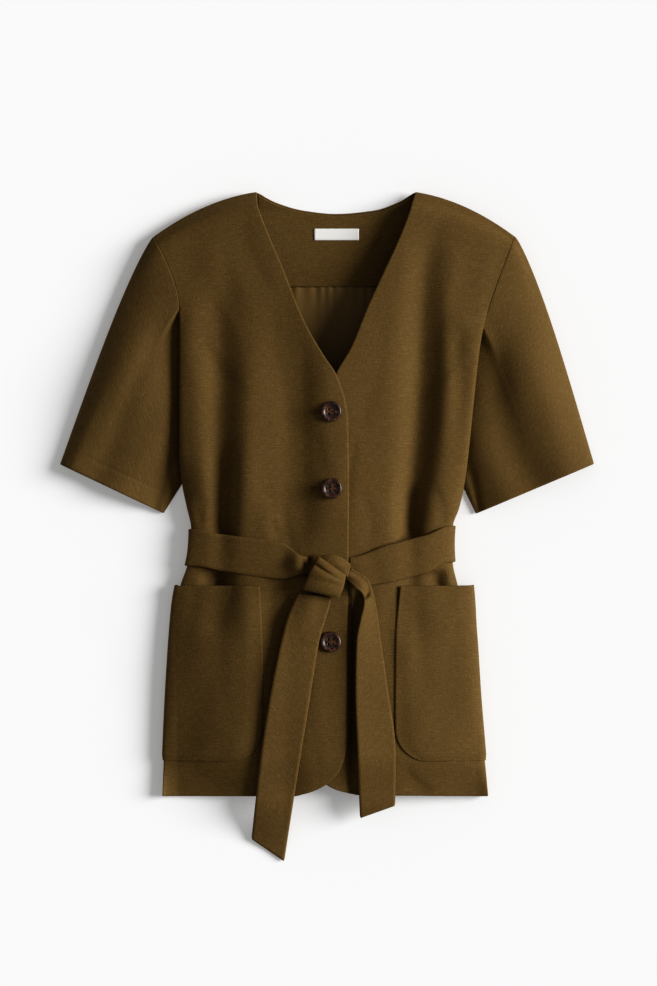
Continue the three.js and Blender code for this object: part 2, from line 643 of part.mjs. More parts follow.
// The belt's strip, round the waist: over the left front, under the back, over the right front.
const BELT_ACROSS = 4;
const BELT_UNDER = [-100, -40, 40, 100];
const BELT_ENDS = [-14, 25];
function beltGrid() {
  const outs = [movedOut(gridLeft, BELT_STAND), movedOut(gridRight, -BELT_STAND)];
  const edgeY = (x, share) => mix(read(BELT, 'x', x, 'low'), read(BELT, 'x', x, 'top'), share);
  const overFront = (out, column) => (share) => {
    const x = onColumn(out, column, beltMiddle(0)).x;
    return onColumn(out, column, edgeY(x, share));
  };
  const leftEnd = Math.floor(columnAt(outs[0], BELT_ENDS[0], -43, UNDER_STEPS + 1));
  const rightEnd = Math.floor(columnAt(outs[1], BELT_ENDS[1], -50, UNDER_STEPS + 1));
  const stations = [];
  for (let j = leftEnd; j > 0; j -= 1) stations.push(overFront(outs[0], j));
  for (const x of BELT_UNDER) {
    stations.push((share) => {
      const y = mix(edgeY(-160, share), edgeY(150, share), (x + 150) / 290);
      return new THREE.Vector3(x, y, BELT_CLOTH / 2);
    });
  }
  for (let j = 1; j <= rightEnd; j += 1) stations.push(overFront(outs[1], j));
  const grid = [];
  for (let j = 0; j <= BELT_ACROSS; j += 1) {
    grid.push(stations.map((station) => station(1 - j / BELT_ACROSS)));
  }
  return grid;
}

// A tail lies on the fronts and comes down past the hem.
const TAIL_STEPS = 20;
function tailGrid(table, tip, lift) {
  const grid = [];
  const first = table[0].y;
  const last = table[table.length - 1].y;
  for (let i = 0; i <= TAIL_STEPS; i += 1) {
    const y = mix(last, first, i / TAIL_STEPS);
    const row = [];
    for (let j = 0; j <= 4; j += 1) {
      const share = j / 4;
      const x = mix(read(table, 'y', y, 'left'), read(table, 'y', y, 'right'), share);
      const slant = tip * (share - 0.5) * smooth((first - 60 - y) / 120);
      const plan = y + slant;
      const stand = read(table, 'y', y, 'stand');
      const over = frontHeight(x, Math.max(plan, HEM_Y + 2)) + lift(x) + stand;
      const fall = smooth((HEM_Y - 5 - plan) / 60);
      row.push(new THREE.Vector3(x, plan, mix(over, BELT_CLOTH / 2 + 0.4, fall)));
    }
    grid.push(row);
  }
  return grid;
}

// The knot's folded band: a flattened ring whose hollow takes the crossing of the belt.
const KNOT_ROUND = 24;
const KNOT_LONG = 6;
function knotGrid() {
  const under = buttonZ(...BUTTON_PLACES[2]) + BUTTON_THICK + LAYER_GAP;
  const base = under + BELT_CLOTH / 2;
  const lean = (KNOT.lean * Math.PI) / 180;
  const grid = [];
  for (let i = 0; i <= KNOT_LONG; i += 1) {
    const along = i / KNOT_LONG - 0.5;
    const pinch = 1 - 0.9 * along * along;
    const row = [];
    for (let j = 0; j < KNOT_ROUND; j += 1) {
      const turn = (-2 * Math.PI * j) / KNOT_ROUND;
      const [c, s] = [Math.cos(turn), Math.sin(turn)];
      const high = (KNOT.high / 2) * pinch * Math.sign(c) * Math.abs(c) ** 0.7;
      const deep = (KNOT.deep / 2) * pinch * Math.sign(s) * Math.abs(s) ** 0.8;
      const x = along * KNOT.wide;
      row.push(new THREE.Vector3(
        KNOT.x + x * Math.cos(lean) - high * Math.sin(lean),
        KNOT.y + x * Math.sin(lean) + high * Math.cos(lean),
        base + KNOT.deep / 2 + deep,
      ));
    }
    grid.push(row);
  }
  return grid;
}

// What lies on the inside of the back shows through the neck.
const INSIDE_ACROSS = 12;
function insideGrid(low, high, wide, stand, rows, neck) {
  const grid = [];
  for (let i = 0; i <= rows; i += 1) {
    const row = [];
    for (let j = 0; j <= INSIDE_ACROSS; j += 1) {
      const x = mix(wide[0], wide[1], j / INSIDE_ACROSS);
      const top = neck ? read(BACK_NECK, 'x', x, 'y') - 3 : high;
      const y = mix(low, top, 1 - (1 - i / rows) ** 1.5);
      const slope = (backHeight(x, y + 1) - backHeight(x, y - 1)) / 2;
      row.push(new THREE.Vector3(x, y, backHeight(x, y) + stand * Math.hypot(1, slope)));
    }
    grid.push(row);
  }
  return grid;
}

// A button's underside lies just above the highest point of the upper front beneath it.
const BUTTON_SEAT = 0.5;
const BUTTON_PROBES = 12;
function buttonZ(x, y) {
  const heights = [];
  for (let k = 0; k <= BUTTON_PROBES; k += 1) {
    const reach = k === BUTTON_PROBES ? 0 : BUTTON_RADIUS;
    const angle = (2 * Math.PI * k) / BUTTON_PROBES;
    const [px, py] = [x + reach * Math.cos(angle), y + reach * Math.sin(angle)];
    heights.push(onGrid(gridLeft, columnAt(gridLeft, px, py, UNDER_STEPS + 1), py).z);
  }
  return Math.max(...heights) + CLOTH / 2 + BUTTON_SEAT;
}

// A four-hole button: an outline with its holes, with bevelled edges.
function buttonGeometry() {
  const circle = (x, y, radius, sides) => Array.from({ length: sides }, (_, k) => {
    const angle = (2 * Math.PI * k) / sides;
    return new THREE.Vector2(x + radius * Math.cos(angle), y + radius * Math.sin(angle));
  });
  const outline = new THREE.Shape(circle(0, 0, BUTTON_RADIUS, 28));
  for (let k = 0; k < 4; k += 1) {
    const angle = Math.PI / 4 + (k * Math.PI) / 2;
    const [x, y] = [BUTTON_HOLE_REACH * Math.cos(angle), BUTTON_HOLE_REACH * Math.sin(angle)];
    outline.holes.push(new THREE.Path(circle(x, y, BUTTON_HOLE, 8).reverse()));
  }
  return new THREE.ExtrudeGeometry(outline, {
    depth: BUTTON_THICK - 2 * BUTTON_BEVEL,
    bevelThickness: BUTTON_BEVEL,
    bevelSize: BUTTON_BEVEL,
    bevelOffset: -BUTTON_BEVEL,
    bevelSegments: 1,
  });
}

// Materials, by the finish that the real pieces have
const FINISHES = {
  cloth: { color: 0x5f4a20, roughness: 0.85 },
  lining: { color: 0x5a3f1a, roughness: 0.5 },
  label: { color: 0xe5e5e2, roughness: 0.7 },
  button: { color: 0x3a2518, roughness: 0.25 },
};
const garment = new THREE.Group();
function piece(name, geometry, finish) {
  const mesh = new THREE.Mesh(geometry, new THREE.MeshStandardMaterial(FINISHES[finish]));
  mesh.name = name;
  garment.add(mesh);
  return mesh;
}
const flipped = (grid) => grid.map((row) => [...row].reverse());

piece('back', wall(gridBack, CLOTH), 'cloth');
piece('front_left', wall(gridLeft, CLOTH), 'cloth');
piece('front_right', wall(flipped(gridRight), CLOTH), 'cloth');
const sleeveLeft = sleeveGrid(armhole(gridLeft, 0, 1), CUFF_LEFT, SIDE_LEFT, 1);
piece('sleeve_left', wall(sleeveLeft, CLOTH, true), 'cloth');
const sleeveRight = sleeveGrid(armhole(gridRight, 2 * BACK_HALF, -1), CUFF_RIGHT, SIDE_RIGHT, -1);
piece('sleeve_right', wall(flipped(sleeveRight), CLOTH, true), 'cloth');
piece('pocket_left', wall(pocketGrid(gridLeft, POCKET_LEFT, 1), CLOTH), 'cloth');
piece('pocket_right', wall(flipped(pocketGrid(gridRight, POCKET_RIGHT, -1)), CLOTH), 'cloth');
const insideStand = CLOTH + 3 * LAYER_GAP;
const insideWide = [-71, 88];
const facing = insideGrid(FACING_LOW, 0, insideWide, insideStand, 5, true);
piece('back_neck_facing', wall(facing, CLOTH), 'cloth');
const lining = insideGrid(LINING_LOW, FACING_LOW - SEAM_GAP, insideWide, insideStand, 5, false);
piece('lining', wall(lining, CLOTH), 'lining');
const labelEnds = [LABEL.x - LABEL.wide / 2, LABEL.x + LABEL.wide / 2];
const labelStand = insideStand + CLOTH / 2 + LAYER_GAP + LABEL_CLOTH / 2;
const labelGrid = insideGrid(LABEL.y - LABEL.high / 2, LABEL.y + LABEL.high / 2, labelEnds,
  labelStand, 2, false);
piece('label', wall(labelGrid, LABEL_CLOTH), 'label');
BUTTON_PLACES.forEach(([x, y], index) => {
  const button = piece(`button_${index + 1}`, buttonGeometry(), 'button');
  button.position.set(x, y, buttonZ(x, y) + BUTTON_BEVEL);
});
piece('belt_band', wall(beltGrid(), BELT_CLOTH), 'cloth');
piece('belt_knot', wall(knotGrid(), BELT_CLOTH, true), 'cloth');
piece('belt_tail_left', wall(tailGrid(TAIL_LEFT, TAIL_TIP_LEFT, leftLift), BELT_CLOTH), 'cloth');
piece('belt_tail_right', wall(tailGrid(TAIL_RIGHT, TAIL_TIP_RIGHT, () => 0), BELT_CLOTH), 'cloth');

// The origin is the middle of the garment's box, on the surface that it lies on.
garment.updateMatrixWorld(true);
const box = new THREE.Box3().setFromObject(garment, true);
const middle = box.getCenter(new THREE.Vector3());
garment.position.set(-middle.x, -middle.y, -box.min.z);

export default garment;
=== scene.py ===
# %% [markdown]
# # A belted short-sleeved blazer, laid flat
# The garment lies on its back on a pale surface and is seen from straight above. Its solids
# come from the imported frame. This script dresses them: each panel gets a fine shell on the
# same form, with creases placed one by one, a woven finish, real buttons and sewn details.

# %% Load the frame
import math

import bpy
import numpy as np
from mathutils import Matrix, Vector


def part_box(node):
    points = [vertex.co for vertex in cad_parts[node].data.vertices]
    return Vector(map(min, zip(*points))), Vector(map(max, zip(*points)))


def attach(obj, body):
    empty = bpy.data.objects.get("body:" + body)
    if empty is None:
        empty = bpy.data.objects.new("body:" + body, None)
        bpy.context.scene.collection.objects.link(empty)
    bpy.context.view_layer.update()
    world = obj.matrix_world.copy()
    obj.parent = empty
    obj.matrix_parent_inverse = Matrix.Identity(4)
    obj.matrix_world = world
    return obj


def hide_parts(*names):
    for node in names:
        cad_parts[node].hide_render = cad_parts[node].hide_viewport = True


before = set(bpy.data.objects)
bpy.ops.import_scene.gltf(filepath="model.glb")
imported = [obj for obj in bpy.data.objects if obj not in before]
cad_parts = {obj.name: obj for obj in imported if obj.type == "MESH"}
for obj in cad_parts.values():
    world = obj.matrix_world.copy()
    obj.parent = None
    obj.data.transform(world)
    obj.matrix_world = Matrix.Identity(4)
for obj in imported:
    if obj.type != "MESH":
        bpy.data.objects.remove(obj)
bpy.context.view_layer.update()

# %% [markdown]
# ## The photograph's frame and the camera
# One pixel of the photograph is about 1.1 mm on the garment, worked out from the buttons, the
# belt and the label. A long lens straight above keeps the outline as flat as the photograph's.

# %% Camera
MM = 0.001
PIXEL = 1.1 * MM
PHOTO = (657, 986)
BOX_MIDDLE_PX = (327.05, 526.35)
CAMERA_HEIGHT = 6.4
GARMENT_MIDDLE_Z = 0.03
SENSOR = 36.0
scene = bpy.context.scene


def put(name, data):
    """A new object in the scene."""
    thing = bpy.data.objects.new(name, data)
    scene.collection.objects.link(thing)
    return thing


camera_data = bpy.data.cameras.new("camera_above")
camera_data.sensor_fit = "VERTICAL"
camera_data.sensor_height = SENSOR
camera_data.lens = SENSOR * (CAMERA_HEIGHT - GARMENT_MIDDLE_Z) / (PHOTO[1] * PIXEL)
camera = put("camera_above", camera_data)
camera.location = ((PHOTO[0] / 2 - BOX_MIDDLE_PX[0]) * PIXEL,
                   (BOX_MIDDLE_PX[1] - PHOTO[1] / 2) * PIXEL, CAMERA_HEIGHT)
scene.camera = camera
scene.view_settings.view_transform = "Standard"
scene.view_settings.look = "High Contrast"
print("lens", round(camera_data.lens, 1), "mm")

# %% [markdown]
# ## The cut and the lie of the cloth
# A pattern maker knows a jacket by a few measures at each height. The tables below hold them in
# millimetres, with named columns, and smooth curves join the rows. They are the same measures
# as the solids', so a shell made from them lies where its solid is.


# %% Tables and smooth reading
def table(columns, *rows):
    """A short table: a dict of columns, each an array in the order of its first column."""
    data = np.array(sorted(rows), dtype=float)
    return {name: data[:, i] for i, name in enumerate(columns.split())}


def read(rows, at, name):
    """A column of the table at places along its first column, with no overshoot."""
    xs, ys = next(iter(rows.values())), rows[name]
    at = np.clip(np.asarray(at, dtype=float), xs[0], xs[-1])
    steps = np.diff(ys) / np.diff(xs)
    slope = np.empty_like(ys)
    slope[0], slope[-1] = steps[0], steps[-1]
    before, after = steps[:-1], steps[1:]
    total = np.where(before + after == 0, 1, before + after)
    slope[1:-1] = np.where(before * after > 0, 2 * before * after / total, 0)
    i = np.clip(np.searchsorted(xs, at, side="right") - 1, 0, len(xs) - 2)
    span = xs[i + 1] - xs[i]
    t = (at - xs[i]) / span
    return (
        (2 * t**3 - 3 * t**2 + 1) * ys[i] + (t**3 - 2 * t**2 + t) * slope[i] * span
        + (3 * t**2 - 2 * t**3) * ys[i + 1] + (t**3 - t**2) * slope[i + 1] * span
    )


def mix(a, b, t):
    return a + (b - a) * t


def smooth(t):
    t = np.clip(t, 0, 1)
    return t * t * (3 - 2 * t)


def bell(t):
    return np.exp(-(t**2))


def places(x, y, z):
    """Points from their three coordinates, each of any shape that fits the others."""
    return np.stack(np.broadcast_arrays(x, y, z), axis=-1)


CLOTH, BELT_CLOTH, POCKET_CLOTH = 1.5, 2.0, 1.2
LINING_CLOTH, LABEL_CLOTH, LOOP_CLOTH = 1.0, 0.5, 1.8
FLOOR = CLOTH / 2
BELT_GAP = 0.9
BELT_STAND = CLOTH / 2 + BELT_GAP + BELT_CLOTH / 2
BELT_LIFT = BELT_CLOTH / 2 + BELT_STAND - FLOOR
OVERLAP_LIFT = 3.2
SHOULDER_Z, SHOULDER_ROLL, SHOULDER_STAND = 10, 26, 1.2
SEAM_OVER, SEAM_UNDER = 0.9, 0.7
BACK_RISE = 22
HEM_Y, UNDERARM_Y, SHOULDER_Y = -296, 84, 319.5

CROWN = table(
    "y z square soft",
    (-300, 30, 6, 0), (-150, 34, 6, 0), (-60, 34, 5, 0), (-25, 32, 4.5, 0),
    (30, 36, 5, 0), (140, 42, 5, 0), (215, 41, 4.5, 0.1), (260, 37, 4, 1),
    (320, 31, 3, 1), (370, 26, 3, 1),
)
SIDE_LEFT = table(
    "y x z roll turn run",
    (-296, -181, 9.75, 9, 90, 28), (-226, -178, 9.75, 9, 90, 30),
    (-147, -173, 9.75, 9, 90, 32), (-92, -166.5, 9.75, 9, 90, 34),
    (-64, -160.5, 9.75, 9, 90, 34), (-44, -153.5, 9.75, 9, 90, 32),
    (-25, -150, 9.75, 9, 90, 32), (-5, -149, 9.75, 9, 90, 32),
    (23, -154.5, 9.75, 9, 90, 32), (42, -158.5, 11.5, 9, 90, 28),
    (62, -161, 17, 9, 90, 20), (84, -162, 23, 9, 90, 14), (139, -162, 28, 9, 90, 6),
    (194, -161.5, 29, 8, 75, 0), (221, -161.5, 29, 7, 45, 0), (248, -162.5, 28, 6, 10, 0),
    (269, -167.5, 26, 5, 0, 0), (295, -178, 22, 5, 0, 0), (319.5, -190, 17, 5, 0, 0),
)
SIDE_RIGHT = table(
    "y x z roll turn run",
    (-296, 177, 9.75, 9, 90, 28), (-255, 173, 9.75, 9, 90, 30), (-191, 166, 9.75, 9, 90, 32),
    (-136, 158.5, 9.75, 9, 90, 32), (-92, 150, 9.75, 9, 90, 32), (-64, 143, 9.75, 9, 90, 32),
    (-41, 138, 9.75, 9, 90, 32), (-20, 137, 9.75, 9, 90, 32), (0, 138, 9.75, 9, 90, 32),
    (20, 145, 10.5, 9, 90, 32), (42, 150, 15, 9, 90, 28), (62, 153, 19.5, 9, 90, 20),
    (84, 155.5, 24, 9, 90, 14), (139, 161, 28, 9, 90, 6), (181, 165.5, 29, 8, 80, 0),
    (206, 169, 29, 7, 33, 0), (236, 176, 28, 6, 0, 0), (262, 184.5, 26, 5, 0, 0),
    (290, 195, 22, 5, 0, 0), (319.5, 206, 17, 5, 0, 0),
)
EDGE_LEFT = table(
    "v x y",
    (0, -34, -297.5), (0.015, -15.5, -292), (0.032, 0, -283.5), (0.055, 13, -269.5),
    (0.085, 19.5, -251), (0.12, 22.5, -230), (0.3, 22, -125), (0.44, 23, -37),
    (0.57, 23.5, 51), (0.67, 22.5, 119), (0.71, 18.5, 142), (0.75, 10, 166),
    (0.79, -4, 187.5), (0.845, -25, 224), (0.93, -53, 293), (0.97, -70, 333),
    (0.985, -77, 354), (1, -78, 368),
)
EDGE_RIGHT = table(
    "v x y",
    (0, 35, -296.5), (0.015, 13, -291.5), (0.032, -2, -283), (0.055, -9, -268),
    (0.085, -12, -250), (0.12, -13, -230), (0.3, -13, -125), (0.57, -12, 51),
    (0.67, -5.5, 117), (0.74, 9.5, 166), (0.79, 27, 197), (0.855, 45.5, 242),
    (0.91, 64, 282), (0.955, 80, 317), (0.985, 92, 348), (1, 97.5, 368),
)
SHOULDER_LINE = table(
    "x y",
    (-215, 303), (-190, 319.5), (-155, 341), (-118, 358), (-91, 366.5), (-78, 368.5),
    (97.5, 368.5), (125.5, 359.5), (152, 349.5), (179, 337), (206, 319.5), (230, 303),
)
BACK_NECK = table(
    "x y",
    (-78, 368.5), (-54, 356.5), (-25, 348.5), (10, 345), (53, 349), (77, 357), (97.5, 368.5),
)
BELT = table(
    "x top low",
    (-160, -4, -43.5), (-111, -10, -49.5), (-73, -15, -55.5), (-48, -19.5, -57.5),
    (-24, -34, -52), (24, -35, -66), (66, -21.5, -61.5), (104, -11.5, -52), (150, 0, -39),
)
FOLDS = [
    table("y x wide depth", (285, -112, 20, 0), (225, -118, 20, -6), (120, -117, 18, -9),
          (0, -115, 12, -9), (-60, -116, 14, -7), (-130, -118, 18, 0)),
    table("y x wide depth", (345, 112, 16, 0), (270, 106, 18, -6), (120, 100, 18, -9),
          (0, 91, 12, -9), (-60, 92, 14, -7), (-140, 96, 18, 0)),
    table("y x wide depth", (230, 140, 10, 0), (160, 146, 11, -3), (60, 140, 10, 0)),
    table("y x wide depth", (200, -88, 16, 0), (60, -88, 14, 2.5), (-20, -92, 12, 0)),
]
print("panels are read from", len(SIDE_LEFT["y"]), "heights on the left side")

# %% [markdown]
# ## Creases
# Linen holds soft, uneven creases: short pulls above and below the tied belt, drags from the
# underarms, and broken ripples along the hem. Each is one row: where it starts and ends, how
# wide and how deep it is, and how much it bows. A negative depth is a trough.

# %% The fronts' creases
FRONT_CREASES = [
    # x0, y0, x1, y1, width, depth, bow
    (118, 230, 99, 8, 15, -4.2, -4), (95, 40, 92, -12, 10, -5.2, 0),
    (120, -50, 123, -78, 12, -7.5, 0), (-111, 84, -113, -12, 11.5, -6.6, 0),
    (-118, -52, -121, -80, 12, -8.5, 0), (96, 220, 90, -6, 32, -6, -3),
    (-29, 195, -27, -8, 23, -6.2, 0), (-42, -70, -48, -240, 22, -3, 0),
    (-20, -36, -20, -52, 5.5, -9.5, 0), (28, -285, 31, -72, 6.5, -8.5, 0),
    (-90, -60, -96, -262, 38, 3.5, 0),
    (-62, 6, -50, -14, 6, -0.7, 2), (-47, 22, -40, -20, 8, -0.8, 3),
    (-76, 34, -66, -14, 9, 0.8, -4), (40, 36, 47, -24, 9, -0.8, -3),
    (73, 60, 70, -14, 9, 0.9, 3), (-56, -60, -62, -110, 9, -1, 3),
    (-134, -50, -138, -80, 6, -1.1, -2), (72, -64, 70, -150, 8, -0.9, 3),
    (116, -52, 124, -70, 6, -1, 2), (-134, 30, -140, 4, 7, -1.2, 2),
    (120, 40, 128, 2, 7, -1.2, -2), (-140, 210, -96, 150, 11, -1.2, 5),
    (148, 214, 120, 160, 11, -1.3, -5), (-60, 250, -44, 120, 13, -0.9, 6),
    (60, 236, 34, 110, 14, -1, -6), (-128, 300, -100, 210, 12, 0.9, 4),
    (140, 300, 120, 230, 12, 1, -4), (-20, -160, -12, -270, 10, -0.8, 3),
    (86, -268, 110, -292, 9, -1.3, 2), (28, -200, 22, -290, 8, -0.8, -2),
    (-150, -264, -110, -288, 10, -0.9, 3), (140, -270, 60, -286, 12, -0.8, 3),
    (-10, 100, -2, 60, 8, -0.6, 2), (30, 90, 24, 20, 6, -0.7, 2),
    (-92, 330, -66, 262, 12, -0.8, 4), (112, 336, 82, 268, 12, 0.8, -4),
]
RIPPLES = [
    # cycles a metre along x and y, phase, height in mm
    (9, 2.3, 0.4, 0.35), (-5, 6.1, 1.9, 0.3), (14, 4.2, 4, 0.16), (22, -7.4, 2.6, 0.09),
]


def creases(rows, x, y):
    """The height that the creases add at plan places, in millimetres."""
    z = np.zeros_like(x)
    for x0, y0, x1, y1, width, depth, bow in rows:
        along = np.array([x1 - x0, y1 - y0], dtype=float)
        length = np.hypot(*along)
        along /= length
        t = ((x - x0) * along[0] + (y - y0) * along[1]) / length
        bend = bow * 4 * t * (1 - t)
        off = (x - x0) * along[1] - (y - y0) * along[0] - bend
        taper = smooth((t + 0.25) / 0.45) * smooth((1.25 - t) / 0.45)
        side = np.where(off > 0, 1.35, 0.8) * width
        z += depth * taper * bell(off / side)
    for fx, fy, phase, height in RIPPLES:
        z += height * np.sin(2 * math.pi * MM * (fx * x + fy * y) + phase)
    return z


print(len(FRONT_CREASES), "creases on the fronts")


# %% Heights of the fronts and the back
BELT_ROUND_Y = (BELT["top"][0] + BELT["low"][0]) / 2
HEM_DROP, HEM_TURN, HEM_FADE = 11, 1.5, 44
LIFT_FLAT, LIFT_EASE = 34, 30
DOME_WIDE, DOME_LEFT, DOME_RIGHT = 150, 15.0, 8.0
OVERLAP_FROM, OVERLAP_EASE = -50, 36


def belt_lift(y):
    """How far the belt under the garment raises it."""
    return BELT_LIFT * (1 - smooth((np.abs(y - BELT_ROUND_Y) - LIFT_FLAT) / LIFT_EASE))


def side_at(side, y):
    """The measures of a side edge at heights y."""
    edge = {name: read(side, y, name) for name in ("x", "z", "roll", "turn", "run")}
    edge["z"] = edge["z"] + belt_lift(y)
    return edge


def dome(x, y):
    """How far the fronts sink away to each side of the middle, most of all at waist and hip."""
    share = np.clip(np.abs(x) / DOME_WIDE, 0, 1.1)
    depth = np.where(x < 0, DOME_LEFT, DOME_RIGHT)
    return depth * share**2 * (0.35 + 0.65 * smooth((70 - y) / 110))


def front_height(x, y, fine=True, folds=1.0):
    """The fronts' height over plan places, before the left one laps over the right one."""
    left, right = side_at(SIDE_LEFT, y), side_at(SIDE_RIGHT, y)
    across = np.clip((x - left["x"]) / (right["x"] - left["x"]), 0, 1)
    body = np.clip(1 - np.abs(2 * across - 1) ** read(CROWN, y, "square"), 0, 1)
    crown = body ** mix(0.5, 1, read(CROWN, y, "soft"))
    z = mix(mix(left["z"], right["z"], across), read(CROWN, y, "z"), crown)
    z = z - dome(x, y) * crown
    for fold in FOLDS:
        inside = (y > fold["y"][0]) & (y < fold["y"][-1])
        away = (x - read(fold, y, "x")) / read(fold, y, "wide")
        z = z + folds * inside * read(fold, y, "depth") * bell(away)
    if fine:
        z = z + creases(FRONT_CREASES, x, y) * smooth(body * 3)
    z = z - HEM_DROP * smooth((HEM_Y + HEM_FADE - y) / HEM_FADE) * crown
    from_seam = np.clip((read(SHOULDER_LINE, x, "y") - y) / SHOULDER_ROLL, 0, 1)
    rolled = np.sqrt(np.clip(1 - (1 - from_seam) ** 2, 0, 1))
    return mix(SHOULDER_Z + SHOULDER_STAND, z, rolled)


def left_lift(x, toward=1):
    """How far the left front (toward 1) stands off the right one (toward -1)."""
    return OVERLAP_LIFT * smooth((x - OVERLAP_FROM) / OVERLAP_EASE) * (toward > 0)


def rolled(side, toward, angle, run=0):
    """Places round a side's roll by an angle, and run beyond it: x and z."""
    x = side["x"] + toward * (side["roll"] * (1 - np.cos(angle)) + run * np.sin(angle))
    return x, side["z"] - side["roll"] * np.sin(angle) - run * np.cos(angle)


def facing_up(grid, toward):
    """Turns a mirrored grid round, so that its faces point out of the garment."""
    return grid if toward > 0 else grid[:, ::-1]


def back_height(x, y):
    """The back's height: on the surface, over the belt, and up to the shoulder seam."""
    near = np.clip(1 - (read(SHOULDER_LINE, x, "y") - y) / BACK_RISE, 0, 1)
    return FLOOR + belt_lift(y) + (SHOULDER_Z - SHOULDER_STAND - FLOOR) * near**1.4


print("the fronts are", float(front_height(0.0, 0.0).round(1)), "mm high at the middle")

# %% [markdown]
# ## Shells
# Every cloth piece is a thin shell: a grid of points for the middle of the cloth, two skins half
# a thickness away along the normals, and a rounded rim between them, so a cut edge reads as
# turned cloth. The grid carries the cloth's own coordinates as its UV map, for the weave.

# %% Shell builder
label_low, label_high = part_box("label")
LABEL_MIDDLE = (10.5, 322)
SHIFT = np.array([(label_low[i] + label_high[i]) / 2 / MM - LABEL_MIDDLE[i] for i in (0, 1)]
                 + [0.25])
print("the frame lies", np.round(SHIFT, 3), "mm from the tables' own middle")


def normals(grid, closed=False):
    """Unit normals of a grid of points; closed means that its columns run round a tube."""
    if closed:
        across = np.roll(grid, -1, axis=1) - np.roll(grid, 1, axis=1)
    else:
        across = np.gradient(grid, axis=1)
    out = np.cross(across, np.gradient(grid, axis=0))
    return out / np.maximum(np.linalg.norm(out, axis=2, keepdims=True), 1e-9)


def mesh_from(name, points, faces, uv=None):
    """A smooth-shaded mesh from points in millimetres, with the cloth's own coordinates."""
    mesh = bpy.data.meshes.new(name)
    mesh.from_pydata(((points + SHIFT) * MM).tolist(), [], faces)
    if uv is not None:
        corner = np.empty(len(mesh.loops), dtype=np.int64)
        mesh.loops.foreach_get("vertex_index", corner)
        layer = mesh.uv_layers.new(name="cloth")
        layer.data.foreach_set("uv", uv[corner].astype(np.float32).ravel())
    mesh.polygons.foreach_set("use_smooth", [True] * len(mesh.polygons))
    mesh.validate()
    mesh.update()
    return mesh


def shell(name, grid, uv, thickness, closed=False):
    """A closed shell on a grid. Faces wind so that columns cross rows point out of the top."""
    rows, columns = grid.shape[:2]
    out = normals(grid, closed)
    ids = np.arange(rows * columns).reshape(rows, columns)
    wide = np.concatenate([ids, ids[:, :1]], axis=1) if closed else ids
    quads = np.stack([wide[:-1, :-1], wide[:-1, 1:], wide[1:, 1:], wide[1:, :-1]], axis=-1)
    quads = quads.reshape(-1, 4)
    count = rows * columns
    faces = [quads, quads[:, ::-1] + count]
    if closed:
        loops = [(ids[0], ids[1]), (ids[-1][::-1], ids[-2][::-1])]
    else:
        ring = np.concatenate([ids[0], ids[1:, -1], ids[-1, -2::-1], ids[-2:0:-1, 0]])
        inner = np.concatenate([ids[1], ids[1:, -2], ids[-2, -2::-1], ids[-2:0:-1, 1]])
        loops = [(ring, inner)]
    flat, flat_out, flat_uv = grid.reshape(-1, 3), out.reshape(-1, 3), uv.reshape(-1, 2)
    points = [flat + flat_out * thickness / 2, flat - flat_out * thickness / 2]
    coords = [flat_uv, flat_uv]
    total = 2 * count
    for ring, inner in loops:
        away = flat[ring] - flat[inner]
        away /= np.maximum(np.linalg.norm(away, axis=1, keepdims=True), 1e-9)
        points.append(flat[ring] + away * thickness * 0.42)
        coords.append(flat_uv[ring])
        rim = np.arange(len(ring)) + total
        following, rim_following = np.roll(ring, -1), np.roll(rim, -1)
        faces.append(np.stack([following, ring, rim, rim_following], axis=-1))
        faces.append(np.stack([rim_following, rim, ring + count, following + count], axis=-1))
        total += len(ring)
    all_faces = np.concatenate(faces).tolist()
    return mesh_from(name, np.concatenate(points), all_faces, np.concatenate(coords))


def grid_area(grid):
    """The area of a grid's cloth in square metres."""
    a = grid[1:, 1:] - grid[:-1, :-1]
    b = grid[1:, :-1] - grid[:-1, 1:]
    return float(np.linalg.norm(np.cross(a, b), axis=2).sum() / 2) * MM * MM


def arc_uv(grid):
    """Cloth coordinates in metres: the way across each row, and the way up each column."""
    across = np.linalg.norm(np.diff(grid, axis=1), axis=2)
    up = np.linalg.norm(np.diff(grid, axis=0), axis=2)
    u = np.concatenate([np.zeros((len(grid), 1)), np.cumsum(across, axis=1)], axis=1)
    v = np.concatenate([np.zeros((1, grid.shape[1])), np.cumsum(up, axis=0)], axis=0)
    return np.stack([u, v], axis=-1) * MM


def plan_uv(grid):
    """Cloth coordinates of a panel that lies flat: its plan place, in metres."""
    return grid[..., :2] * MM


def belong(thing, slot, *nodes):
    """Makes a finished object part of the garment, in the place of its solids."""
    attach(thing, "root")
    if nodes:
        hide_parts(*nodes)
    print(thing.name, len(thing.data.polygons), "faces")
    return thing


def applied(thing, modifier):
    """Makes what a modifier shows the piece's own mesh."""
    ready = thing.evaluated_get(bpy.context.evaluated_depsgraph_get())
    mesh = bpy.data.meshes.new_from_object(ready)
    thing.modifiers.remove(modifier)
    thing.data = mesh
    return mesh


def dress(name, node, grid, finish, flat, held="laid", uv=plan_uv, thickness=CLOTH, slot="cloth",
          area=None, digits=4, closed=False, **says):
    """Shells a grid in the place of its solid, and states the cut of its cloth."""
    mesh = shell(name, grid, uv(grid), thickness, closed)
    mesh.materials.append(finish)
    thing = belong(put(name, mesh), slot, *([node] if node else []))
    area = area or round(grid_area(grid), digits)
    print(name, "is cut from", flat, "m, with an area of", area)


# %% [markdown]
# ## Shader maths as expressions
# A finish is easier to read as arithmetic than as a web of nodes. Wire wraps one socket and
# turns + - and * into Math nodes; Finish makes every other node from its type, its
# settings and what feeds its sockets.


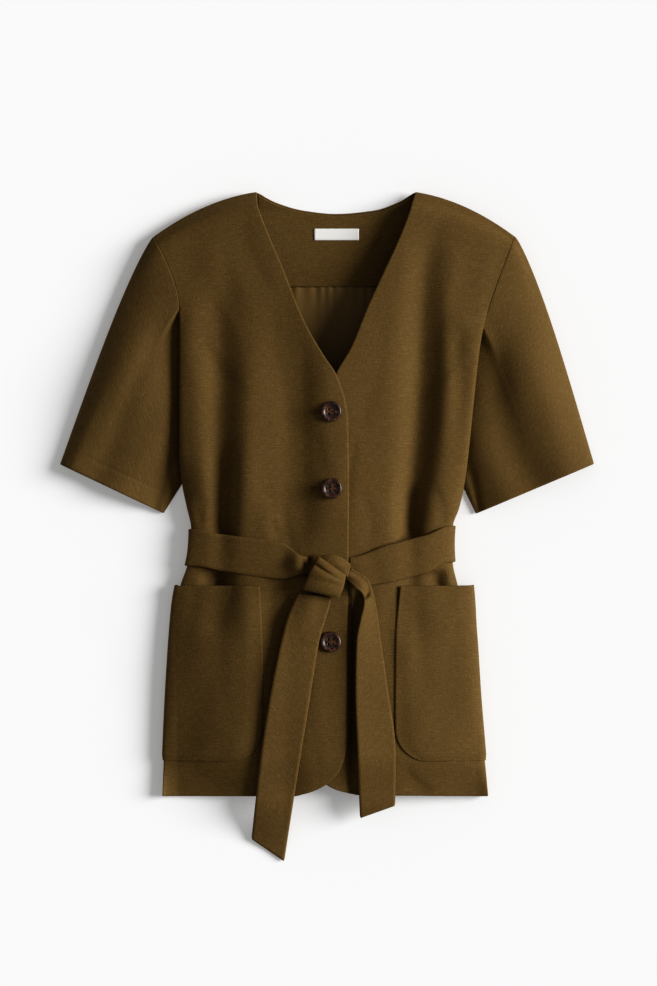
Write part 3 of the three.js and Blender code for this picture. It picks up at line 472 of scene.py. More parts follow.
# %% Wires and finishes
class Wire:
    """One output socket of a finish, which can be reckoned with."""

    def __init__(self, finish, socket):
        self.finish, self.socket = finish, socket

    def _maths(self, operation, first, second):
        return self.finish.node("ShaderNodeMath", {"operation": operation}, {0: first, 1: second})

    def __add__(self, other):
        return self._maths("ADD", self, other)

    def __sub__(self, other):
        return self._maths("SUBTRACT", self, other)

    def __mul__(self, other):
        return self._maths("MULTIPLY", self, other)

    def __rsub__(self, other):
        return self._maths("SUBTRACT", other, self)


class Finish:
    """A material built from a few readable steps."""

    def __init__(self, name):
        self.material = bpy.data.materials.new(name)
        self.material.use_nodes = True
        self.nodes = self.material.node_tree.nodes
        self.links = self.material.node_tree.links
        self.shader = self.nodes["Principled BSDF"]

    def feed(self, socket, value):
        if isinstance(value, Wire):
            self.links.new(value.socket, socket)
        else:
            socket.default_value = value

    def node(self, kind, settings=None, inputs=None, output=0):
        made = self.nodes.new(kind)
        for key, value in (settings or {}).items():
            setattr(made, key, value)
        for key, value in (inputs or {}).items():
            self.feed(made.inputs[key], value)
        return Wire(self, made.outputs[output])

    def cloth(self):
        """The cloth's own coordinates."""
        return self.node("ShaderNodeUVMap", {"uv_map": "cloth"})

    def body(self):
        """Object coordinates."""
        return self.node("ShaderNodeTexCoord", output=3)

    def blend(self, factor, first, second):
        """Mixes two colours by a factor."""
        return self.node("ShaderNodeMix", {"data_type": "RGBA"},
                         {0: factor, 6: first, 7: second}, output=2)

    def noise(self, vector, scale, stretch=(1, 1, 1), detail=2.0, rough=0.5):
        spread = self.node("ShaderNodeVectorMath", {"operation": "MULTIPLY"},
                           {0: vector, 1: stretch})
        return self.node("ShaderNodeTexNoise", {},
                         {"Vector": spread, "Scale": scale, "Detail": detail, "Roughness": rough})

    def ramp(self, value, low, high):
        """Nothing below low, all above high, and even between them."""
        return self.node("ShaderNodeMapRange", {"interpolation_type": "SMOOTHSTEP"},
                         {0: value, 1: low, 2: high, 3: 0.0, 4: 1.0})

    def bump(self, height, strength, distance):
        return self.node("ShaderNodeBump", {},
                         {"Strength": strength, "Distance": distance, "Height": height})

    def set(self, **values):
        for key, value in values.items():
            self.feed(self.shader.inputs[key.replace("_", " ")], value)
        return self.material


def two_tone(name, scale, stretch, first, second, rough, bump=None, on_cloth=True, **more):
    """A finish in two close colours that one noise mixes, and that it can raise a little."""
    finish = Finish(name)
    grain = finish.noise(finish.cloth() if on_cloth else finish.body(), scale, stretch)
    if bump:
        more["Normal"] = finish.bump(grain, *bump)
    return finish.set(Base_Color=finish.blend(grain, first, second), Roughness=rough, **more)


# %% [markdown]
# ## The linen blend
# The cloth is a plain weave of slubby linen and smoother yarns in a bronze olive. From a step
# away the thick places in the weft show as fine level streaks, with paler flecks where the flax
# took the dye less. It has a slight sheen. The pattern reads the cloth's own coordinates, so it
# turns with the sleeves and the belt as the real grain does.

# %% Cloth finish
CLOTH_DEEP = (0.075, 0.042, 0.010, 1)
CLOTH_BASE = (0.125, 0.074, 0.019, 1)
CLOTH_PALE = (0.20, 0.132, 0.05, 1)
CLOTH_FLECK = (0.34, 0.25, 0.12, 1)
THREADS_PER_M = 1500.0
LINEN_LAYERS = [
    # stretch across and up, roughness, and where the ramp starts and ends: level streaks, thick
    # places, upright streaks, flecks and dark places
    (120, 1300, 0.6, 0.46, 0.7), (40, 620, 0.5, 0.5, 0.72), (1300, 130, 0.6, 0.46, 0.7),
    (330, 1100, 0.5, 0.68, 0.78), (150, 1100, 0.6, 0.54, 0.76),
]


def linen(name, tint=1.0, weave=1.0, sheen=0.03):
    """The blazer's cloth. tint scales its lightness, and weave the depth of its threads."""
    finish = Finish(name)
    place = finish.cloth()
    streak, thick, upright, fleck, dark = (
        finish.ramp(finish.noise(place, 1.0, (across, up, 1), 2.0, rough), low, high)
        for across, up, rough, low, high in LINEN_LAYERS)
    grain = finish.noise(place, 1.0, (900, 900, 1), 3.0, 0.7)
    cloud = finish.noise(finish.body(), 7.0, (1, 1, 1), 3.0, 0.55)
    deep, base, light, flax = (tuple(c * tint for c in colour[:3]) + (1,)
                               for colour in (CLOTH_DEEP, CLOTH_BASE, CLOTH_PALE, CLOTH_FLECK))
    pale = streak * 0.42 + thick * 0.2 + upright * 0.36 + (grain - 0.42) * 0.9
    colour = finish.blend(pale, base, light)
    colour = finish.blend(dark * 0.7 + cloud * 0.2, colour, deep)
    colour = finish.blend(fleck * 0.75, colour, flax)
    warp, weft = (
        finish.node("ShaderNodeMath", {"operation": "SINE"}, {0: finish.node(
            "ShaderNodeSeparateXYZ", {}, {0: place}, output=axis) * (math.pi * THREADS_PER_M)})
        for axis in (0, 1))
    height = warp * weft * 0.4 + streak * 0.6 + upright * 0.5 + thick * 0.4 + grain * 0.6
    return finish.set(
        Base_Color=colour, Roughness=0.78 - streak * 0.1,
        Normal=finish.bump(height, 0.6 * weave, 0.00028), Sheen_Weight=sheen,
        Sheen_Roughness=0.45, Sheen_Tint=(0.72, 0.6, 0.4, 1), Specular_IOR_Level=0.18,
    )


CLOTH_FINISH = linen("linen_cloth")
BELT_FINISH = linen("linen_belt", tint=1.04, weave=1.2, sheen=0.04)
POCKET_FINISH = linen("linen_pocket", tint=0.98)
print("cloth finishes", CLOTH_FINISH.name, BELT_FINISH.name, POCKET_FINISH.name)

# %% Lining, label and thread finishes
LINING_FINISH = two_tone(
    "lining_satin", 1.0, (900, 60, 1), (0.15, 0.09, 0.026, 1), (0.19, 0.12, 0.04, 1), 0.5,
    bump=(0.25, 0.00008), Specular_IOR_Level=0.3)
LABEL_FINISH = two_tone(
    "label_weave", 1.0, (300, 2600, 1), (0.88, 0.87, 0.84, 1), (0.79, 0.78, 0.75, 1), 0.6,
    bump=(0.4, 0.0001))
THREAD_FINISH = two_tone(
    "sewing_thread", 2600.0, (1, 1, 1), (0.05, 0.027, 0.007, 1), (0.11, 0.065, 0.02, 1), 0.6,
    bump=(0.4, 0.0001), on_cloth=False)
LABEL_THREAD = two_tone(
    "label_thread", 2400.0, (1, 1, 1), (0.66, 0.65, 0.61, 1), (0.8, 0.79, 0.75, 1), 0.6,
    on_cloth=False)
print("finishes for the lining, the label and two threads")

# %% [markdown]
# ## Button finish
# The buttons are polished horn-look resin: nearly black brown with cloudy streaks of amber and
# grey, under a thin, soft gloss.

# %% Horn finish
horn = Finish("button_horn")
horn_body = horn.body()
clouds = horn.noise(horn_body, 150.0, (1, 1.7, 1), 4.0, 0.6)
veins = horn.noise(horn_body, 420.0, (1, 0.5, 1), 3.0, 0.6)
horn_colour = horn.blend(horn.ramp(clouds, 0.45, 0.68), (0.022, 0.009, 0.005, 1),
                         (0.115, 0.045, 0.017, 1))
horn_colour = horn.blend(horn.ramp(veins, 0.56, 0.74) * 0.7, horn_colour, (0.24, 0.14, 0.075, 1))
HORN_FINISH = horn.set(
    Base_Color=horn_colour, Roughness=0.4, Coat_Weight=0.22, Coat_Roughness=0.24,
    Normal=horn.bump(veins, 0.08, 0.0001),
)
print("button finish", HORN_FINISH.name)

# %% [markdown]
# ## Fronts
# A front is cut in one piece from the side seam to the front edge. Laid flat, it turns under at
# the side with a tight roll and runs on beneath. So each row of the grid starts at the seam
# underneath, goes round the roll, and then crosses the top to the front or neck edge.

# %% Front panels
ROWS, TOP, ROLL, RUN = 230, 120, 14, 7
LEAST_TURN = 20
SEAM_END = 2
ROLL_SHARE, ROW_BOW = 0.012, 8
SEWN_FROM, SEWN_OVER = 0.985, 0.015
ROW_Y = np.linspace(HEM_Y - HEM_TURN, SHOULDER_Y, ROWS)[:, None]
ROW_V = (ROW_Y - HEM_Y) / (SHOULDER_Y - HEM_Y)
SEWN = smooth((ROW_V - SEWN_FROM) / SEWN_OVER)


def front_grid(side_table, edge_table, toward):
    """A front's rows, each from the seam underneath round the roll and over to its edge."""
    side = side_at(side_table, ROW_Y)
    end_x, end_y = read(edge_table, ROW_V, "x"), read(edge_table, ROW_V, "y")

    def top(w):
        x = mix(side["x"], end_x, w)
        y = mix(ROW_Y, end_y, w) + 4 * w * (1 - w) * ROW_BOW * smooth((ROW_V - 0.82) / 0.18)
        z = front_height(x, y) + left_lift(x, toward)
        return places(x, y, mix(z, SHOULDER_Z + SEAM_OVER, SEWN))

    share = np.concatenate([np.ones(RUN), np.linspace(1, 0, ROLL, endpoint=False)])
    ahead = np.concatenate([np.linspace(1, 0, RUN, endpoint=False), np.zeros(ROLL)])
    x, z = rolled(side, toward, np.radians(side["turn"]) * share, (side["run"] + SEAM_END) * ahead)
    turned = side["turn"] > LEAST_TURN
    flat = top(np.linspace(0, ROLL_SHARE, RUN + ROLL, endpoint=False))
    under = np.where(turned[..., None], places(x, ROW_Y, z), flat)
    w = np.linspace(0, 1, TOP) ** 1.25
    w = np.where(turned, w, ROLL_SHARE + (1 - ROLL_SHARE) * w)
    return np.concatenate([under, top(w)], axis=1)


LEFT = front_grid(SIDE_LEFT, EDGE_LEFT, 1)
RIGHT = front_grid(SIDE_RIGHT, EDGE_RIGHT, -1)
for name, grid, toward in (("left", LEFT, 1), ("right", RIGHT, -1)):
    dress(f"front_{name}_cloth", f"front_{name}", facing_up(grid, toward), CLOTH_FINISH,
          flat=(0.27, 0.68), rests_on=["back_cloth"])

# %% [markdown]
# ## Back
# The back lies on the surface. Its side edges meet the fronts' seams underneath, and above the
# underarm they are the back halves of the armholes. Faint broad creases give the hidden side
# the same worn look as the front.

# %% Back panel
BACK_ACROSS = 96
SEAM_GAP = 0.5
BACK_EDGE = 26
HEM_SHORT = 17
BACK_CREASES = [
    (-90, 180, -40, 60, 16, 0.5, 8), (80, 200, 50, 90, 15, 0.6, -8),
    (-60, -120, -80, -240, 14, 0.5, 5), (70, -110, 60, -250, 16, 0.5, -6),
    (0, 260, 6, 140, 18, 0.5, 4), (-100, 70, -60, 20, 12, 0.5, 4), (100, 74, 66, 16, 12, 0.5, -4),
]


def back_end(side_table, toward):
    """The back's side edge: at the front's seam, and above the underarm at the armhole."""
    side = side_at(side_table, np.minimum(ROW_Y, UNDERARM_Y))
    seam_x, seam_z = rolled(side, toward, np.radians(side["turn"]), side["run"] + SEAM_END)
    up = np.clip((ROW_Y - UNDERARM_Y) / (SHOULDER_Y - UNDERARM_Y), 0, 1)
    point = side_at(side_table, SHOULDER_Y)["x"]
    x = mix(seam_x + toward * 2 * SEAM_GAP, point + toward * 1.5, smooth(up) ** 1.3)
    lying = back_height(x, ROW_Y)
    return x, np.maximum(mix(seam_z, lying, smooth(up / 0.16)), lying)


def back_grid():
    """The back's rows, which bend towards the shoulder line and the neck near the top."""
    (x0, z0), (x1, z1) = back_end(SIDE_LEFT, 1), back_end(SIDE_RIGHT, -1)
    share = np.linspace(0, 1, BACK_ACROSS)
    x = mix(x0, x1, share - 0.045 * np.sin(2 * math.pi * share))
    inside = np.minimum(x - BACK_NECK["x"][0], BACK_NECK["x"][-1] - x)
    top = np.where(inside < 0, read(SHOULDER_LINE, x, "y"), read(BACK_NECK, x, "y")) - 0.8
    rise = smooth((ROW_V - 0.72) / 0.28)
    y = np.where(top > ROW_Y, mix(ROW_Y, top, rise * np.where(ROW_V >= 1, 1, rise)), ROW_Y)
    y = y + HEM_SHORT * bell((x - 5) / 48) * smooth((HEM_Y + 70 - ROW_Y) / 70)
    near = np.minimum(np.abs(x - x0), np.abs(x - x1))
    end_x, end_z = (np.where(share < 0.5, *ends) for ends in ((x0, x1), (z0, z1)))
    extra = np.maximum(0, end_z - back_height(end_x, ROW_Y))
    lift = extra * np.clip(1 - near / BACK_EDGE, 0, 1) ** 2
    soft = np.clip(creases(BACK_CREASES, x, y), 0, 2) * smooth(near / 40)
    seam = smooth((12 - inside) / 9) * SEWN
    return places(x, y, mix(back_height(x, y) + lift + soft, SHOULDER_Z - SEAM_UNDER, seam))


BACK = back_grid()
dress("back_cloth", "back", BACK, CLOTH_FINISH, flat=(0.41, 0.68))

# %% [markdown]
# ## Sleeves
# A short set-in sleeve is a tube sewn to the armhole. Its loop runs down the front's edge, where
# the lower half is hidden beneath the rolled side, and back up the back's edge. It is lofted to
# the flattened oval of the cuff, with soft folds that follow the tube.

# %% Sleeve shells
CUFFS = {"left": ((-294, 68.5), (-181, 15)), "right": ((294, 69), (165, 14.5))}
CUFF_CROWN, CUFF_EDGE_Z = 17, 4
SLEEVE_BOW, SLEEVE_CROWN = 7, 9
HIDDEN_GAP, FREE_HEIGHT = 2.94, 15
SLOPE_LOW, SLOPE_HIGH = 0.22, 1.7
SLEEVE_STEPS, SOFTENING = 110, 160
CUFF_STITCH, CUFF_HEM = 0.45, 20
SLEEVE_CREASES = {
    # way round (0 outer edge, 1 inner edge), start and end along, width, depth
    "left": [(0.36, 0.0, 1.0, 0.08, -2.6), (0.58, 0.1, 1.0, 0.1, 2.4),
             (0.82, 0.15, 1.0, 0.06, -2.2), (0.2, 0.4, 1.0, 0.05, 0.9)],
    "right": [(0.5, 0.0, 1.0, 0.1, -4.6), (0.28, 0.15, 1.0, 0.1, 2.2),
              (0.7, 0.1, 1.0, 0.09, 1.6), (0.88, 0.35, 1.0, 0.05, -2.4)],
}


def armhole(front, ends, side_table, toward):
    """The sleeve's seam: down the front's armhole edge, then up the back's."""
    first = int(np.searchsorted(front[:, 0, 1], UNDERARM_Y))
    edge, following = front[::-1][: ROWS - first, 0], front[::-1][: ROWS - first, 1]
    away = edge - following
    away /= np.linalg.norm(away, axis=1, keepdims=True)
    turn = read(side_table, edge[:, 1], "turn")
    turned = np.clip((turn - LEAST_TURN) / 12, 0, 1)[:, None]
    down = places(away[:, 2], 0.0, -away[:, 0])
    down *= np.where(down[:, 2:] > 0, -1, 1)
    start = edge + away * 1.7 * SEAM_GAP + down * turned * 2.1
    start[:, 2] -= turned[:, 0] * 0.6
    return start, ends[first + 1: -1] - (toward * 2 * SEAM_GAP, 0, 0)


def softened(values, times):
    """Values smoothed along the columns, with both ends kept."""
    values = values.copy()
    for _ in range(times):
        values[:, 1:-1] = (values[:, :-2] + 2 * values[:, 1:-1] + values[:, 2:]) / 4
    return values


def sleeve_grid(name, front, back_edge, side_table, toward):
    """A sleeve lofted from its armhole to its cuff, kept outside the front's rolled side."""
    over, behind = armhole(front, back_edge, side_table, toward)
    loop = np.concatenate([over, behind])
    n_over, n_all = len(over) - 1, len(loop)
    j = np.arange(n_all)
    upper = j <= n_over
    share = np.where(upper, j / n_over, 1 + (j - n_over) / (n_all - n_over))
    width = (1 - np.cos(math.pi * share)) / 2
    rise = np.abs(np.sin(math.pi * share))
    outer, inner = (np.array(p, dtype=float) for p in CUFFS[name])
    end = places(
        mix(outer[0], inner[0], width), mix(outer[1], inner[1], width),
        np.where(upper, CUFF_EDGE_Z + CUFF_CROWN * rise**0.7,
                 FLOOR + (CUFF_EDGE_Z - FLOOR) * (1 - rise**0.4)))
    v = (np.linspace(0, 1, SLEEVE_STEPS) ** 1.15)[:, None]
    grid = loop[None] + (end - loop)[None] * v[:, :, None]
    grid[..., 0] -= toward * SLEEVE_BOW * np.sin(math.pi * v**0.6) * (1 - width) ** 2
    top = mix(loop[:, 2], end[:, 2], v**1.7) + SLEEVE_CROWN * np.sin(math.pi * v) ** 2 * rise
    side = side_at(side_table, grid[..., 1])
    inside = toward * (grid[..., 0] - side["x"])
    reach = side["roll"] + HIDDEN_GAP
    hidden = np.clip(side["roll"] - inside, 0, side["roll"])
    free = FREE_HEIGHT * (1 - np.clip((side["turn"] - 35) / 25, 0, 1))
    outside = np.maximum(0, -inside)
    slope = mix(SLOPE_LOW, SLOPE_HIGH, smooth((grid[..., 1] - 118) / 55))
    tucked = side["z"] - np.sqrt(reach**2 - hidden**2) + free
    limit = tucked + slope * outside
    ease = 0.3 + 7 * smooth(v * 2.5)
    lower, gap = np.minimum(top, limit), np.abs(top - limit)
    top = np.where(v > 0, lower - ease * np.log1p(np.exp(-gap / ease)), top)
    blurred = top.copy()
    blurred[:, : n_over + 1] = softened(top[:, : n_over + 1], SOFTENING)
    top = mix(top, blurred, smooth(v * 4))
    for way, start, stop, wide, depth in SLEEVE_CREASES[name]:
        bent = way + 0.03 * np.sin(5 * v + 9 * way)
        fade = smooth((v - start) / 0.35) * smooth((stop - v) / 0.2 + (stop >= 1))
        top = top + depth * fade * bell((share - bent) / wide) * upper
    top = np.where(v > 0, np.minimum(top, tucked + 1.4 * outside), top)
    from_cuff = (1 - v) * np.linalg.norm(end - loop, axis=-1)[None, :]
    top = top - CUFF_STITCH * bell((from_cuff - CUFF_HEM) / 1.6) * rise
    low = mix(loop[:, 2], end[:, 2], smooth(v * 3))
    grid[..., 2] = np.where(upper, top, low)
    return grid


def tube_uv(grid):
    """Cloth coordinates round a tube, which start and end at its outer edge."""
    uv = arc_uv(grid)
    return uv - uv[:, :1] * [1, 0]


for name, front, column, side_table, toward in (
    ("left", LEFT, 0, SIDE_LEFT, 1), ("right", RIGHT, -1, SIDE_RIGHT, -1),
):
    grid = facing_up(sleeve_grid(name, front, BACK[:, column], side_table, toward), toward)
    dress(f"sleeve_{name}_cloth", f"sleeve_{name}", grid, CLOTH_FINISH, flat=(0.46, 0.29),
          uv=tube_uv, closed=True)

# %% [markdown]
# ## Patch pockets
# A patch pocket is a separate panel with a turned edge, laid on the front. It is made from the
# front's own height, moved out along its normals, and its outer edge wraps the side. Its stiff
# upper corner stands away from the body, most of all on the right, and its taut mouth bridges
# the troughs in the front instead of following them.

# %% Pockets
POCKET_TOP, POCKET_LOW, POCKET_CORNER = -66, -258, 34
POCKET_STAND = 2.1
MOUTH_FOLLOWS, MOUTH_BAND = 0.3, 52
CORNER_ROWS, STRAIGHT_ROWS, POCKET_COLUMNS = 26, 62, 70
ROLL_STEPS = 12
POCKETS = {
    "left": table("y inner aside", (-258, -72, 0), (-150, -71, 1), (-66, -74.5, 5)),
    "right": table("y inner aside", (-258, 76, 0), (-200, 75, 1.5), (-120, 76, 8),
                   (-66, 80.5, 17)),
}
POCKET_CREASES = [
    (-150, -80, -120, -110, 10, -0.8, 3), (-118, -90, -112, -200, 12, -0.7, 3),
    (-96, -235, -140, -246, 8, 0.6, 2), (96, -80, 112, -190, 14, -0.7, 4),
    (140, -90, 128, -160, 12, -0.7, -4), (110, -236, 160, -246, 9, 0.5, -2),
]


def roll_and_top(side_table, toward, y, first_share, inner, steps, fine=True):
    """Rows at exact heights: partway round the side's roll, then over the top to inner."""
    side = side_at(side_table, y)
    share = np.linspace(first_share, 0, ROLL_STEPS, endpoint=False)
    x, z = rolled(side, toward, np.radians(side["turn"]) * share)
    roll = places(x, y, z)
    x = mix(side["x"], inner, np.linspace(0, 1, steps)[None, :] ** 1.3)
    top = places(x, y, front_height(x, np.broadcast_to(y, x.shape), fine) + left_lift(x, toward))
    return np.concatenate([roll, top], axis=1)


def outward(grid, toward):
    """The normals of a grid, mirrored or not, that point out of the garment."""
    return facing_up(normals(facing_up(grid, toward)), toward)


def pocket_grid(name, side_table, toward):
    """A pocket's rows, close together round its lower corner, laid on the front."""
    low = np.linspace(0, 1, CORNER_ROWS) ** 1.8 * POCKET_CORNER + POCKET_LOW
    y = np.concatenate([low, np.linspace(low[-1], POCKET_TOP, STRAIGHT_ROWS)[1:]])[:, None]
    short = 1 - np.clip((y - POCKET_LOW) / POCKET_CORNER, 0, 1)
    inset = POCKET_CORNER * (1 - np.sqrt(1 - short**2))
    inner = read(POCKETS[name], y, "inner") - toward * inset
    base = roll_and_top(side_table, toward, y, 0.5, inner, POCKET_COLUMNS)
    taut = front_height(base[..., 0], base[..., 1], False, MOUTH_FOLLOWS)
    steps = base.shape[1]
    bridged = smooth((y - POCKET_TOP + MOUTH_BAND) / 42) * (np.arange(steps) >= ROLL_STEPS)
    base[..., 2] = mix(base[..., 2], np.maximum(base[..., 2], taut), bridged)
    across = np.linspace(0, 1, steps)
    fade = 1 - smooth((across * 21 - 1) / 9)
    closer = np.maximum(smooth((across - 0.86) / 0.12), smooth((POCKET_LOW + 7 - y) / 7))
    grid = base + outward(base, toward) * (POCKET_STAND + 0.2 - 0.85 * closer)[..., None]
    grid[..., 0] -= toward * read(POCKETS[name], y, "aside") * fade
    from_inner = np.abs(grid[..., 0] - inner)
    grid[..., 2] += creases(POCKET_CREASES, grid[..., 0], grid[..., 1]) * smooth(from_inner / 30)
    return grid


for name, side_table, toward in (("left", SIDE_LEFT, 1), ("right", SIDE_RIGHT, -1)):
    grid = facing_up(pocket_grid(name, side_table, toward), toward)
    dress(f"pocket_{name}_cloth", f"pocket_{name}", grid, POCKET_FINISH, flat=(0.13, 0.2),
          thickness=POCKET_CLOTH, rests_on=[f"front_{name}_cloth"])

# %% [markdown]
# ## Inside the neck
# Through the V show the deep back facing in the outer cloth, the smooth lining sewn to its lower
# edge with small puckers, and a blank woven label held by short stitches at its ends.

# %% Facing, lining and label
FACING_LOW, LINING_LOW = 264.5, 120
FACING_WIDE, LINING_WIDE = (-77, 94), (-71, 88)
INSIDE_STAND = CLOTH + 1.8
LINING_STAND, LABEL_STAND, TACK_STAND = INSIDE_STAND - 0.4, INSIDE_STAND + 1.75, 2.1
NECK_MARGIN = 3


def inside_grid(low, high, wide, stand, steps, relief=None):
    """Cloth laid inside the back, up to a height or, with none given, up to the neck's edge."""
    x = np.broadcast_to(np.linspace(*wide, steps[1])[None, :], steps)
    share = (1 - (1 - np.linspace(0, 1, steps[0])) ** 1.5)[:, None]
    top = read(BACK_NECK, x, "y") - NECK_MARGIN if high is None else high
    y = mix(low, top, share)
    slope = (back_height(x, y + 1) - back_height(x, y - 1)) / 2
    z = back_height(x, y) + stand * np.hypot(1, slope)
    if relief is not None:
        z = z + relief(x, y)
    return places(x, y, z)


def puckers(x, y):
    """Small gathers in the lining that fade away from its seam."""
    fade = np.exp(-np.abs(FACING_LOW - y) / 16)
    wave = np.sin(x * 0.55 + 1.4 * np.sin(x * 0.13)) + 0.5 * np.sin(x * 0.23 + 2)
    return fade * wave * 0.5 + 0.5 * np.sin(x * 0.07 + y * 0.05) + 0.4


def facing_relief(x, y):
    """The facing's lower edge is turned under, so it stands a little."""
    return 0.5 * np.exp(-(y - FACING_LOW) / 5) + 0.3 * np.sin(x * 0.045 + 1) + 0.3


LABEL = (49, 12.5)
label_x, label_y = ((middle - size / 2, middle + size / 2)
                    for middle, size in zip(LABEL_MIDDLE, LABEL))
dress("back_neck_facing_cloth", "back_neck_facing",
      inside_grid(FACING_LOW, None, FACING_WIDE, INSIDE_STAND, (46, 64), facing_relief),
      CLOTH_FINISH, flat=(0.182, 0.102), rests_on=["back_cloth"])
dress("lining_cloth", "lining",
      inside_grid(LINING_LOW, FACING_LOW - SEAM_GAP, LINING_WIDE, LINING_STAND, (90, 150),
                  puckers),
      LINING_FINISH, flat=(0.162, 0.145), thickness=LINING_CLOTH, slot="lining",
      rests_on=["back_cloth"])
dress("label_blank", "label", inside_grid(*label_y, label_x, LABEL_STAND, (8, 30)),
      LABEL_FINISH, flat=(0.0495, 0.013), thickness=LABEL_CLOTH, slot="label", digits=5,
      rests_on=["back_neck_facing_cloth"])

# %% [markdown]
# ## Belt
# The belt is one long strip of doubled cloth with pressed edges. Its band goes right round the
# waist, under the back too, and its ends are gathered into the knot. It is drawn taut, so it
# bridges the troughs in the front, and beside the knot it swells into a knuckle and sinks.

# %% Belt band
BAND_ACROSS, BAND_COLUMNS, UNDER_COLUMNS = 14, 150, 60
BAND_FOLLOWS = 0.3


def belt_rows(side_table, toward, end_x):
    """The band over one front: columns from under the side to its end at the knot."""
    share = np.linspace(0, 1, BAND_ACROSS)[:, None]
    at_side = BELT["x"][0 if toward > 0 else -1]
    y_side = mix(read(BELT, at_side, "low"), read(BELT, at_side, "top"), share)
    base = roll_and_top(side_table, toward, y_side, 1.0, end_x, BAND_COLUMNS, fine=False)
    x = base[..., 0]
    over = mix(read(BELT, x, "low"), read(BELT, x, "top"), share)
    y = mix(base[..., 1], over, smooth((np.abs(x - at_side) - 12) / 30))
    z = front_height(x, y, False, BAND_FOLLOWS) + left_lift(x, toward)
    base[..., 1] = y
    base[..., 2] = np.where(np.arange(x.shape[1]) >= ROLL_STEPS, z, base[..., 2])
    from_end = np.abs(x - end_x)
    crumple = 0.5 * np.sin(x * 0.19 + share * 2) * smooth(1 - from_end / 60)
    pull = 1.3 * bell((share - 0.45) / 0.16) * smooth(1 - from_end / 46)
    stand = BELT_STAND + crumple - pull * 0.8 + 0.25
    return base + outward(base, toward) * stand[..., None]


KNUCKLES = [
    # x, y, radius, height, and how many times as long it is in y as in x
    (-33, -42, 10, 7.5, 1), (-19.5, -38, 5.2, -10, 2),
]
left_rows = belt_rows(SIDE_LEFT, 1, -14)
right_rows = belt_rows(SIDE_RIGHT, -1, 25)
for x, y, radius, height, longer in KNUCKLES:
    away = np.hypot(left_rows[..., 0] - x, (left_rows[..., 1] - y) / longer)
    left_rows[..., 2] += height * bell(away / radius)
start_x, stop_x = left_rows[0, 0, 0], right_rows[0, 0, 0]
under_x = np.linspace(start_x + 6, stop_x - 6, UNDER_COLUMNS)
under_y = mix(left_rows[:, :1, 1], right_rows[:, :1, 1], (under_x - start_x) / (stop_x - start_x))
under = places(under_x, under_y, BELT_CLOTH / 2)
BAND = np.concatenate([left_rows[:, ::-1], under, right_rows], axis=1)[::-1]
dress("belt_band_cloth", "belt_band", BAND, BELT_FINISH, flat=(0.041, 0.59), uv=arc_uv,
      thickness=BELT_CLOTH, rests_on=["front_left_cloth", "front_right_cloth", "back_cloth"])

# %% [markdown]
# ## Tails and knot
# A tail is a strip between two rails: its left and right edges as seen from above, with how far
# it stands off the fronts. The knot is the same idea, with each strip rolled into a flattened
# ring or a bent loop, so that cloth is seen to pass over and under itself.

# %% Strips between two rails
TAIL_STEPS, TAIL_ACROSS = 130, 18


def strip(rails, toward):
    """A tail between its rails, with its places along it and across it."""
    t = np.linspace(rails["t"][0], rails["t"][-1], TAIL_STEPS)[:, None]
    share = np.linspace(0, 1, TAIL_ACROSS)
    x = mix(read(rails, t, "lx"), read(rails, t, "rx"), share)
    y = mix(read(rails, t, "ly"), read(rails, t, "ry"), share)
    base = front_height(x, np.maximum(y, HEM_Y + 2), False) + left_lift(x, toward)
    z = mix(base + read(rails, t, "stand"), BELT_CLOTH / 2 + 0.4, smooth((HEM_Y - 5 - y) / 60))
    return places(x, y, z), t, 2 * share - 1


TAIL_LEFT = table(
    "t lx ly rx ry stand",
    (0, -82.7, -345.5, -48, -369.3, 2.8), (0.16, -77.8, -301, -39.5, -314, 3.1),
    (0.34, -71.8, -250, -30.5, -257, 3.1), (0.55, -62.5, -190, -20, -192, 2.9),
    (0.76, -49.8, -127, -9.2, -127, 2.9), (0.87, -43, -101, -2, -101, 3.2),
    (0.95, -35.5, -83, 2.5, -86, 3.8), (1, -31.5, -74.5, 4, -78.5, 4.6),
)
TAIL_RIGHT = table(
    "t lx ly rx ry stand",
    (0, 37, -321, 74.3, -307.5, 2.7), (0.2, 34.3, -252, 74.8, -250, 2.7),
    (0.42, 31.7, -178, 66, -178, 2.7), (0.58, 32.8, -127, 58.7, -127, 2.8),
    (0.68, 37.5, -101, 55.5, -101, 3.4), (0.76, 41, -84, 53, -86, 4.6),
    (0.83, 39.5, -75, 50.5, -74, 5.8), (0.9, 31, -66.5, 44, -58.5, 6.6),
    (1, 21, -57, 26, -46.5, 7.6),
)
TAIL_WAVES = {"left": (0.5, 2.3, 0.2), "right": (0.6, 1.7, 2.1)}
TAIL_LEAN = {"left": 6.0, "right": 7.5}
TAIL_CUT = {"left": (0.3, 0.0118), "right": (0.28, 0.0111)}
for name, rails, toward in (("left", TAIL_LEFT, 1), ("right", TAIL_RIGHT, -1)):
    grid, along, cross = strip(rails, toward)
    height, cycles, phase = TAIL_WAVES[name]
    grid[..., 2] += height * (np.sin(cycles * 2 * math.pi * along + phase + cross) + 1)
    stand_off = smooth(along * 4) * smooth((1 - along) * 5 + 0.2)
    grid[..., 2] += TAIL_LEAN[name] * stand_off * ((1 - cross) / 2) ** 1.15
    gather = smooth((along - 0.72) / 0.25)
    grid[..., 2] += gather * (0.8 * np.cos(cross * 3.6 + 0.5) + 0.5 * cross)
    if name == "right":
        pinch = bell((along - 0.83 - 0.03 * cross) / 0.022)
        grid[..., 2] -= 5.0 * pinch * smooth((0.8 - cross) / 1.2)
    length, area = TAIL_CUT[name]
    dress(f"belt_tail_{name}_cloth", f"belt_tail_{name}", grid, BELT_FINISH, flat=(0.041, length),
          uv=arc_uv, thickness=BELT_CLOTH, area=area, rests_on=[f"front_{name}_cloth"])

